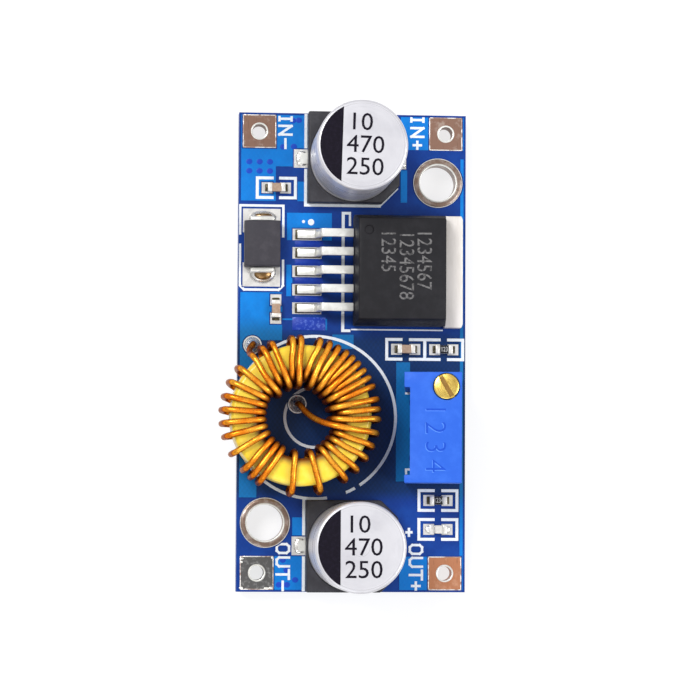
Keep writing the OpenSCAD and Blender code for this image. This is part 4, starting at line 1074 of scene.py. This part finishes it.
@dataclass
class Regulator:
    """The power regulator: moulded body, tab and five bent leads."""

    left: float = -0.1
    right: float = 8.4
    y: float = 7.37
    width: float = 10.3
    high: float = 6.1
    low: float = 1.66
    split: float = 4.05
    lean: float = 0.55
    tab_end: float = 10.1
    tab: float = 1.27
    pitch: float = 1.7
    lead: float = 0.75
    thick: float = 0.45
    tip: float = -5.1
    foot: float = 1.9
    rise: float = 3.7

    def body(self) -> None:
        """Adds the moulded body with its drafted sides, its dimple and its marks."""
        near, far = self.y - self.width / 2, self.y + self.width / 2
        block = Shape().block((self.left, near, self.low), (self.right, far, self.high), 0.0)
        block.level(self.split)
        middle = Vector(((self.left + self.right) / 2, self.y, 0))
        for v in block.mesh.verts:
            if v.co.z > self.high - 0.01:
                v.co.y += math.copysign(self.lean, middle.y - v.co.y)
                v.co.x += self.lean * 0.6 if v.co.x < middle.x else -self.lean * 0.4
            elif v.co.z < self.low + 0.01:
                v.co.y += math.copysign(0.15, middle.y - v.co.y)
                v.co.x += math.copysign(0.15, middle.x - v.co.x)
        block.soften(list(block.mesh.faces), 0.12, 3, 8.0)
        cut = Shape().lathe([(0, self.high - 0.12), (0.36, self.high - 0.12), (0.425, self.high - 0.06),
                             (0.425, self.high + 1), (0, self.high + 1)],
                            (self.left + 1.26, self.y + 2 * self.pitch + 0.1, 0), steps=40)
        body = bored(block, cut)
        slot = Shape().block((self.right - 5.22, near + 0.58, 1.0),
                             (self.right + 1, far - 0.58, self.low + self.tab + 0.02), 0)
        body = bored(body, slot)
        body.done("regulator_moulding", MOULDING, replaces=("regulator_body",))
        marks = Shape()
        for text, x, y in (("1234567", 6.12, 8.2), ("12345678", 4.5, 7.65), ("12345", 2.85, 8.95)):
            place = Matrix.Translation((x, y, self.high + 0.004)) @ Matrix.Rotation(math.radians(-90), 4, "Z")
            marks.join(figures(text, 1.92, place, 0.008, 0.82).mesh)
        marks.done("regulator_marks", MARKING, smooth=None)

    def plate(self) -> None:
        """Adds the tab."""
        near, far = self.y - self.width / 2, self.y + self.width / 2
        x, e, c = self.right, self.tab_end, 0.35
        tongue_near, tongue_far = near + 0.6, far - 0.6
        outline = [(x - 5.2, tongue_near), (x + 0.01, tongue_near), (x + 0.01, near), (e - c * 0.4, near),
                   (e, near + c), (e, far - c), (e - c * 0.4, far), (x + 0.01, far), (x + 0.01, tongue_far),
                   (x - 5.2, tongue_far)]
        Shape().slab(outline, self.low, self.low + self.tab, radius=0.07, segments=3).done(
            "regulator_plate", TAB_TIN, replaces=("regulator_tab",))

    def leads(self) -> None:
        """Adds the five leads with rounded bends, and the solder around their feet, coloured dark as painted
        shade and painted reflection.
        """
        t, low, high = self.thick, self.low, self.rise
        end = self.tip + self.foot
        outline = [(self.tip, low), (end - 0.08, low), (end + 0.1, low + 0.1), (end + 0.45, high - 0.12),
                   (end + 0.6, high), (self.left + 0.02, high), (self.left + 0.02, high + t),
                   (end + 0.3, high + t),
                   (end + 0.1, high + t - 0.12), (end - 0.22, low + t + 0.12), (end - 0.36, low + t),
                   (self.tip, low + t)]
        leads, solder = Shape(), Shape()
        for k in range(-2, 3):
            y = self.y + k * self.pitch
            leads.slab(outline, -y - self.lead / 2, -y + self.lead / 2, Axis.Y, 0.06, 2, 12.0)
            solder.mound((self.tip - 0.2, y - self.lead / 2 - 0.1, FILLET_Z),
                         (end + 0.3, y + self.lead / 2 + 0.1, 1.86), 0.9, 0.06)
        leads.done("regulator_lead_row", LEAD_TIN, replaces=("regulator_leads",))
        solder.done("regulator_solder", SHADED_FILLET)

    def build(self) -> None:
        """Builds the regulator."""
        self.body()
        self.plate()
        self.leads()


@dataclass
class Diode:
    """The flat diode with its two folded leads."""

    x: float = -8.375
    y: float = 9.75
    width: float = 3.45
    length: float = 4.35
    low: float = 1.72
    high: float = 3.9
    lead: float = 2.1
    thick: float = 0.22
    out: float = 0.42

    def build(self) -> None:
        """Builds the body, the leads and their solder."""
        w, l, mid = self.width / 2, self.length / 2, (self.low + self.high) / 2 + 0.1
        block = Shape().block((self.x - w, self.y - l, self.low), (self.x + w, self.y + l, self.high), 0.0)
        block.level(mid)
        for v in block.mesh.verts:
            if abs(v.co.z - mid) > 0.05:
                v.co.x += math.copysign(0.12, self.x - v.co.x)
                v.co.y += math.copysign(0.12, self.y - v.co.y)
        block.soften(list(block.mesh.faces), 0.1, 3, 8.0)
        foot = Shape().block((self.x - self.lead / 2 - 0.02, self.y - l - 1, 1.0),
                             (self.x + self.lead / 2 + 0.02, self.y + l + 1, 1.9), 0.0)
        bored(block, foot).done("diode_moulding", DIODE_MOULDING, replaces=("diode_body",))
        e, o, t = l, l + self.out, self.thick
        low = 1.66
        arc = [(o - 0.16, mid - 0.02), (o - 0.05, mid - 0.07), (o, mid - 0.2)]
        inner = [(o - t, mid - 0.28), (o - t - 0.06, mid - t - 0.02)]
        outline = [(e - 1.0, low), (o - 0.16, low), (o - 0.04, low + 0.05), (o, low + 0.17)] + arc[::-1] + [
            (e, mid), (e, mid - t)] + inner[::-1] + [(o - t, low + t + 0.02), (e - 1.0, low + t)]
        leads, solder, pool = Shape(), Shape(), Shape()
        for side in (1, -1):
            line = [(self.y + side * a, b) for a, b in outline]
            leads.slab(line if side > 0 else line[::-1], self.x - self.lead / 2, self.x + self.lead / 2,
                       Axis.X, 0.05, 2, 12.0)
            deep = 0.68 if side > 0 else 1.05
            solder.drop((self.x + 0.1, self.y + side * (o - 0.1)), SOLDER_Z, (1.3, deep), 0.5, 4)
            pool.drop((self.x + 0.12, self.y + side * (o + 0.05)), 1.75, (0.98, deep - 0.36), 0.5, 4)
        leads.done("diode_lead_pair", LEAD_TIN, replaces=("diode_leads",))
        solder.done("diode_solder", SOLDER)
        pool.done("diode_solder_pools", BOWL)


@dataclass
class Inductor:
    """The toroid: a coated core and one long wire wound round it, partly in a second layer."""

    x: float = -5.0
    y: float = -6.05
    outer: float = 6.35
    bore: float = 3.85
    low: float = 2.83
    high: float = 7.58
    edge: float = 0.45
    wire: float = 0.28
    gap: float = 0.12
    board_top: float = 1.6
    tail: float = -1.01
    lead_angle: float = -13.0
    turns: list[tuple[float, float, int]] = field(default_factory=lambda: [
        (4, 5, 0), (22, 22.5, 0), (37, 36, 0), (50.5, 48.5, 0), (64.5, 61.5, 0), (84, 76, 0),
        (104, 97, 0), (124, 120.5, 0), (144.5, 143, 0), (155, 155, 0), (165.5, 166, 0),
        (176, 176, 0), (186.5, 186, 0), (197, 196, 0), (208, 209.5, 0), (220, 224, 0),
        (230.5, 231.5, 0), (241, 238.5, 0), (261, 263, 0), (284, 284.5, 0), (301, 305, 0),
        (312, 316, 0), (323, 327, 0), (334, 337, 0),
        (354, 357.5, 1), (373, 372.5, 1), (389.5, 389.5, 1), (403.5, 402.5, 1), (417, 414.5, 1),
        (433, 428.5, 1), (454.5, 450.5, 1), (473, 472.5, 1), (496, 490, 1)])

    def at(self, reach: float, z: float, angle: float) -> Point:
        """A point from its distance, height and angle about the core's axis."""
        a = math.radians(angle)
        return (self.x + reach * math.cos(a), self.y + reach * math.sin(a), z)

    def route(self) -> list[Point]:
        """Works out the wire's way, from its first end to its last.

        Returns:
            The points.
        """
        w, u = self.high + self.gap + self.wire, self.low - self.gap - self.wire
        out = self.outer + 0.34 + self.wire
        inside = (self.bore - 0.17 - self.wire, self.bore - 0.79 - self.wire)
        lift, drop, mid = (0.0, 0.38), (0.0, 0.42), (self.bore + self.outer) / 2
        at, lead = self.at, self.lead_angle

        def over(a: float, b: float, layer: int) -> list[Point]:
            """Up the bore, over the top and down the outside."""
            r, rise = inside[layer], lift[layer]
            return [at(r, u + 1, a), at(r, w - 1, a), at(r + 0.22, w - 0.2 + rise * 0.8, a),
                    at(self.bore + 0.25, w + rise, a + (b - a) * 0.2),
                    at(mid, w + 0.05 + rise * 0.6, (a + b) / 2),
                    at(self.outer - 0.25, w, a + (b - a) * 0.9), at(out - 0.2, w - 0.28, b)]

        def under(b: float, a: float, layer: int) -> list[Point]:
            """Down the outside and back to the next turn's bore."""
            d = drop[layer]
            return [at(out, w - 1, b), at(out, u + 1, b), at(out - 0.2, u + 0.28, b),
                    at(self.outer - 0.25, u - d * 0.55, b + (a - b) * 0.1), at(mid, u - d, (a + b) / 2),
                    at(self.bore + 0.25, u - d, b + (a - b) * 0.85),
                    at(inside[layer] + 0.22, u + 0.2 - d * 0.8, a)]

        top = self.board_top
        points = [(self.x, self.y + 1.2, z) for z in (self.tail, top, top + 1.4)]
        points += [(self.x + a, self.y + b, z) for a, b, z in (
            (0.1, 1.05, top + 2.3), (0.55, 0.35, top + 3.8), (1.45, -0.4, w - 0.8), (2.6, -0.85, w + 0.35))]
        points += [at(self.bore + 0.15, w + 0.62, lead - 3), at(mid, w + 0.42, lead - 2),
                   at(self.outer - 0.25, w + 0.12, lead - 0.5), at(out - 0.2, w - 0.25, lead)]
        points += under(lead, self.turns[0][0], 0)
        for this, after in zip(self.turns, self.turns[1:]):
            points += over(*this) + under(this[1], after[0], after[2])
        points += over(*self.turns[-1])
        points += [at(out + 0.05, w - 1, 129.5), at(out + 0.23, top + 3.6, 129),
                   at(out + 0.63, top + 2.3, 126.5)]
        points += [(self.x - 4.15, self.y + 6.6, z) for z in (top + 1.3, top, self.tail)]
        return points

    def build(self) -> None:
        """Builds the core, the winding and the solder at the wire's ends."""
        r_in, r_out, c = self.bore, self.outer, self.edge
        profile: list[Flat] = []
        for x, z, start in ((r_out - c, self.high - c, 0), (r_in + c, self.high - c, 90),
                            (r_in + c, self.low + c, 180), (r_out - c, self.low + c, 270)):
            angles = [math.radians(start + 15 * k) for k in range(7)]
            profile += [(x + c * math.cos(a), z + c * math.sin(a)) for a in angles]
        ring = Shape().lathe(profile, (self.x, self.y, 0), steps=128)
        ring.done("inductor_ring", CORE, replaces=("inductor_core",))
        wire(self.route(), self.wire, around=12, smooth=4).done("inductor_wire", ENAMEL,
                                                               replaces=("inductor_winding",), smooth=60.0)
        solder = Shape()
        for x, y in ((self.x, self.y + 1.2), (self.x - 4.15, self.y + 6.6)):
            solder.lathe([(0.29, 0.95), (0.36, 0.8), (0.5, 0.4), (0.6, 0.18), (0.74, 0.07), (0.29, 0.05)],
                         (x, y, self.board_top), steps=40)
        solder.done("inductor_solder", SOLDER)


@dataclass
class Trimmer:
    """The multi-turn trimmer with its slotted brass screw."""

    left: float = 5.44
    right: float = 10.04
    near: float = -12.07
    far: float = -2.27
    low: float = 1.95
    high: float = 11.7
    rib: float = 0.5
    wall: float = 0.4
    roof: float = 1.6
    screw: Flat = (8.665, -3.555)
    screw_r: float = 1.125
    screw_top: float = 12.0
    gap: float = 0.06
    lean: float = 6.5
    foot: float = 1.67
    wheel: Flat = (-7.605, 6.575)

    def leaning(self, shape: Shape) -> Shape:
        """Leans a shape drawn upright about the left foot's lower edge.

        Args:
            shape: The shape.

        Returns:
            The same shape.
        """
        pivot = Vector((self.left, 0, self.foot))
        lean = Matrix.Rotation(math.radians(-self.lean), 4, "Y")
        turn = Matrix.Translation(pivot) @ lean @ Matrix.Translation(-pivot)
        bmesh.ops.transform(shape.mesh, matrix=turn, verts=shape.mesh.verts)
        return shape

    def housing(self) -> None:
        """Adds the housing with its ribs, feet, bore and engraved figures; each figure is a darker copy as
        painted shade and a lighter, offset copy as painted highlight.
        """
        x = self.left
        outline = [(x, self.near + 0.7), (x - self.rib, self.near + 0.7), (x - self.rib, self.near),
                   (self.right, self.near), (self.right, self.far), (x - self.rib, self.far),
                   (x - self.rib, self.far - 1.35), (x, self.far - 1.35)]
        shell = Shape().slab(outline, self.low, self.high, radius=0.07, segments=3)
        inside = Shape().block((x + self.wall, self.near + self.wall, self.low - 1),
                               (self.right - self.wall, self.far - self.wall, self.high - self.roof), 0.0)
        shell = bored(shell, inside)
        r, top, bottom = self.screw_r + self.gap, self.high, self.high - self.roof - 0.5
        bore = Shape().lathe([(0, bottom), (r, bottom), (r, top - 0.03), (r + 0.03, top + 0.01),
                              (r + 0.03, top + 0.3), (0, top + 0.3)], (*self.screw, 0), steps=64)
        shell = bored(shell, bore)
        for fx in (x + 0.01, self.right - 0.91):
            for fy in (self.near + 0.01, self.far - 0.91):
                shell.block((fx, fy, self.foot), (fx + 0.9, fy + 0.9, self.low + 0.1), 0.05)
        shell.lathe([(0, 8.12), (0.55, 8.12), (0.6, 8.17), (0.6, self.right - 0.2), (0, self.right - 0.2)],
                    (0, *self.wheel), Axis.X, steps=40)
        self.leaning(shell).done("trimmer_shell", BLUE, replaces=("trimmer_housing",))
        # Painted light: each engraved figure is a darker blue copy for the shade in its cut and a lighter
        # copy, offset by 0.06, for the highlight on its edge.
        for text, y in (("1", -5.6), ("2", -7.2), ("3", -8.9), ("4", -10.6)):
            for label, step, finish in (("figure", 0.0, BLUE_ENGRAVING_SHADE), ("edge", -0.06, BLUE_ENGRAVING_HIGHLIGHT)):
                x = self.left + 2.2 + step
                place = Matrix.Translation((x, y + step, self.high + 0.004 + step * 0.02))
                turned = place @ Matrix.Rotation(math.radians(-90), 4, "Z")
                mark = figures(text, 2.65, turned, 0.008, 0.95, 0.035)
                self.leaning(mark).done(f"trimmer_{label}_{text}", finish, smooth=None)

    def adjuster(self) -> None:
        """Adds the screw: slotted head, neck, worm and journal, and a dark sheet on the slot's floor that is
        painted shade.
        """
        r, top = self.screw_r, self.screw_top
        profile = [(0, 2.55), (0.44, 2.55), (0.5, 2.61), (0.5, 3.75), (0.74, 3.75), (0.8, 3.81), (0.8, 10.15),
                   (1.07, 10.15), (1.07, 10.45), (0.7, 10.45), (0.7, 11.0), (r, 11.0), (r, top - 0.09),
                   (r - 0.03, top - 0.03), (r - 0.1, top), (0, top)]
        head = Shape().lathe(profile, (*self.screw, 0), steps=72)
        slot = Shape().block((-2.3, -0.2, top - 0.5), (2.3, 0.2, top + 1), 0.0)
        turn = Matrix.Translation((*self.screw, 0)) @ Matrix.Rotation(math.radians(-60), 4, "Z")
        bmesh.ops.transform(slot.mesh, matrix=turn, verts=slot.mesh.verts)
        brass = TurnedFinish("turned_brass", "brass", (0.96, 0.68, 0.17), (0.7, 0.45, 0.085), patch_mm=0.8,
                             gloss=(0.2, 0.34), metal=1.0, relief_mm=0.002, ring_mm=0.06,
                             centre=(self.screw[0] - 1.16, self.screw[1]))
        # Painted shade: a thin dark brass sheet lies on the slot's floor, where shade falls.
        strip = Shape().block((-0.98, -0.19, top - 0.5), (0.98, 0.19, top - 0.47), 0.0)
        bmesh.ops.transform(strip.mesh, matrix=turn, verts=strip.mesh.verts)
        self.leaning(strip).done("screw_slot_painted_shade", SLOT_SHADE_BRASS, Body.ADJUSTER, smooth=None)
        self.leaning(bored(head, slot)).done("adjusting_screw", brass, Body.ADJUSTER,
                                             replaces=("trimmer_screw",), smooth=30.0)

    def build(self) -> None:
        """Builds the trimmer and finishes its inner nodes."""
        self.housing()
        self.adjuster()
        for name, finish in (
            ("trimmer_potting", POTTING), ("trimmer_pins", LEAD_TIN), ("trimmer_element", ALUMINA),
            ("trimmer_track", CERMET), ("trimmer_rotor", WHITE_PLASTIC), ("trimmer_wiper", SPRING),
            ("trimmer_o_ring", SEAL),
        ):
            paint_node(name, finish)


@dataclass
class Chip:
    """A small two-ended chip part on its pads."""

    name: str
    place: Flat
    height: float
    turned: bool = False
    coat: bool = False
    mark: str = ""
    length: float = 1.6
    width: float = 0.82
    end: float = 0.38
    foot: float = 1.66

    def spread(self, a: float, b: float) -> Flat:
        """Turns a length and a width into a place on the board."""
        along, across = (-b, a) if self.turned else (a, b)
        return (self.place[0] + along, self.place[1] + across)

    def box(self, shape: Shape, a: tuple[float, float], b: tuple[float, float], z: tuple[float, float],
            radius: float) -> None:
        """Adds a block given along and across the chip.

        Args:
            shape: The shape that it is added to.
            a: From and to along the chip.
            b: From and to across the chip.
            z: From and to in height.
            radius: Size of the edges' round.
        """
        one, two = self.spread(a[0], b[0]), self.spread(a[1], b[1])
        low = (min(one[0], two[0]), min(one[1], two[1]), z[0])
        high = (max(one[0], two[0]), max(one[1], two[1]), z[1])
        shape.block(low, high, radius, 3)

    def build(self) -> None:
        """Builds the body, the metal ends, the coat and the solder, whose dark colour is painted shade and
        painted reflection.
        """
        l, w, skin, foot, top = self.length / 2, self.width / 2, 0.03, self.foot, self.foot + self.height
        body = Shape()
        self.box(body, (-l + skin, l - skin), (-w + skin, w - skin), (foot + skin, top - skin), 0.03)
        body.done(f"{self.name}_ceramic", ALUMINA if self.coat else TAN, replaces=(f"{self.name}_body",))
        ends, solder = Shape(), Shape()
        for side in (-1, 1):
            a = tuple(sorted((side * (l - self.end), side * l)))
            self.box(ends, a, (-w, w), (foot, top), 0.06)
            one, two = self.spread(side * (l - 0.1), -0.36), self.spread(side * (l + 0.26), 0.36)
            solder.mound((min(one[0], two[0]), min(one[1], two[1]), FILLET_Z),
                         (max(one[0], two[0]), max(one[1], two[1]), foot + self.height * 0.3), 0.75, 0.06)
        ends.done(f"{self.name}_caps", CHIP_TIN, replaces=(f"{self.name}_ends",))
        solder.done(f"{self.name}_solder", SHADED_FILLET)
        if self.coat:
            glaze = Shape()
            self.box(glaze, (-l + self.end + 0.03, l - self.end - 0.03), (-w + 0.04, w - 0.04),
                     (top - 0.03, top + 0.03), 0.02)
            glaze.done(f"{self.name}_glaze", GLAZE, replaces=(f"{self.name}_coat",))
        if self.mark:
            place = Matrix.Translation((*self.place, top + 0.033))
            mark = figures(self.mark, 0.62, place, 0.006, 0.72)
            mark.done(f"{self.name}_figures", PALE_FIGURE, smooth=None)


@dataclass
class Lamp:
    """The small indicator lamp."""

    place: Flat = (8.0, -16.25)
    foot: float = 1.66
    base_h: float = 0.315
    half: float = 0.8
    wide: float = 0.41
    end: float = 0.38

    def build(self) -> None:
        """Builds the base, the ends, the clear lens and the solder."""
        (x, y), top = self.place, self.foot + self.base_h
        Shape().block((x - self.half + 0.03, y - self.wide + 0.03, self.foot + 0.03),
                      (x + self.half - 0.03, y + self.wide - 0.03, top - 0.03), 0.02).done(
            "lamp_plate", ALUMINA, replaces=("lamp_base",))
        ends, solder = Shape(), Shape()
        for side in (-1, 1):
            a, b = sorted((x + side * (self.half - self.end), x + side * self.half))
            ends.block((a, y - self.wide, self.foot), (b, y + self.wide, top), 0.04)
            solder.drop((x + side * (self.half + 0.02), y), SOLDER_Z, (0.42, 0.36), 0.2)
        ends.done("lamp_caps", CHIP_TIN, replaces=("lamp_ends",))
        solder.done("lamp_solder", LEAD_TIN)
        half = self.half - self.end - 0.02
        Shape().slab([(x - half, top - 0.03), (x + half, top - 0.03), (x + half - 0.08, top + 0.37),
                      (x - half + 0.08, top + 0.37)], -y - self.wide + 0.04, -y + self.wide - 0.04, Axis.Y,
                     radius=0.04, segments=3).done("lamp_dome", RESIN, replaces=("lamp_lens",))


@dataclass
class Studio:
    """The pale floor, the soft lights and the camera."""

    floor_z: float = -1.02
    eye: Point = (-21.64, -14.25, 252.56)
    look: Point = (3.2545, -4.9051, 0.2758)
    lens: float = 141.14

    def light(self, name: str, place: Point, size: float, power: float) -> None:
        """Adds a soft square light that faces the module.

        Args:
            name: The light's name.
            place: Where it hangs, in millimetres.
            size: Its side, in millimetres.
            power: Its power in watts.
        """
        lamp = bpy.data.lights.new(name, "AREA")
        lamp.shape = "SQUARE"
        lamp.size = size * MM
        lamp.energy = power
        thing = linked(name, lamp)
        thing.location = [v * MM for v in place]
        thing.rotation_euler = (-Vector(place)).to_track_quat("-Z", "Y").to_euler()

    def floor(self) -> None:
        """Adds the floor."""
        sheet = bmesh.new()
        bmesh.ops.create_grid(sheet, x_segments=8, y_segments=8, size=3.0,
                              matrix=Matrix.Translation((0, 0, self.floor_z * MM)))
        data = bpy.data.meshes.new("floor")
        sheet.to_mesh(data)
        sheet.free()
        floor = linked("floor", data)
        data.materials.append(Finish("pale_floor", "", (0.3, 0.3, 0.3), (0.28, 0.28, 0.285), patch_mm=40.0,
                                     gloss=(0.8, 0.9), relief_mm=0.002, relief_size=1.0, shine=0.1,
                                     glow=0.76).material())

    def build(self) -> None:
        """Builds the floor, world, lights and camera."""
        self.floor()
        world = bpy.data.worlds.new("studio")
        world.use_nodes = True
        tree = world.node_tree
        back = tree.nodes["Background"]
        back.inputs["Color"].default_value = (0.97, 0.98, 1.0, 1.0)
        height = tree.nodes.new("ShaderNodeSeparateXYZ")
        tree.links.new(tree.nodes.new("ShaderNodeTexCoord").outputs["Generated"], height.inputs["Vector"])
        dome = tree.nodes.new("ShaderNodeMapRange")
        dome.interpolation_type = "SMOOTHSTEP"
        for key, number in (("From Min", 0.1), ("From Max", 0.75), ("To Min", 0.08), ("To Max", 0.62)):
            dome.inputs[key].default_value = number
        tree.links.new(height.outputs["Z"], dome.inputs["Value"])
        tree.links.new(dome.outputs["Result"], back.inputs["Strength"])
        bpy.context.scene.world = world
        self.light("key", (-210, 170, 430), 160, 1.45)
        self.light("fill", (300, -60, 380), 220, 0.95)
        self.light("front", (-60, -330, 320), 240, 0.3)
        camera = bpy.data.cameras.new("camera")
        camera.lens = self.lens
        camera.sensor_width = 36.0
        camera.clip_start = 0.005
        eye = linked("camera", camera)
        eye.location = [v * MM for v in self.eye]
        eye.rotation_euler = Euler([math.radians(a) for a in self.look], "XYZ")
        bpy.context.scene.camera = eye
        bpy.context.scene.view_settings.view_transform = "Standard"


def main() -> None:
    """Builds the module's parts in order."""
    logging.basicConfig(level=logging.INFO, format="%(message)s", stream=sys.stdout)
    FRAME.update(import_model())
    parts = [
        Board(), CanCapacitor("input_can", 17.8, turn=-1.7), CanCapacitor("output_can", -17.8),
        Regulator(), Diode(), Inductor(), Trimmer(),
        Chip("input_chip", (-7.05, 15.05), 0.8), Chip("boost_chip", (-7.03, 3.87), 0.8, turned=True),
        Chip("filter_chip", (4.97, 0.28), 0.8),
        Chip("feedback_resistor", (8.5, 0.28), 0.45, coat=True, mark="123"),
        Chip("lamp_resistor", (8.0, -13.6), 0.45, coat=True, mark="1234"),
        Lamp(), Studio(),
    ]
    for part in parts:
        part.build()
    parts[0].paint()


if __name__ == "__main__":
    main()
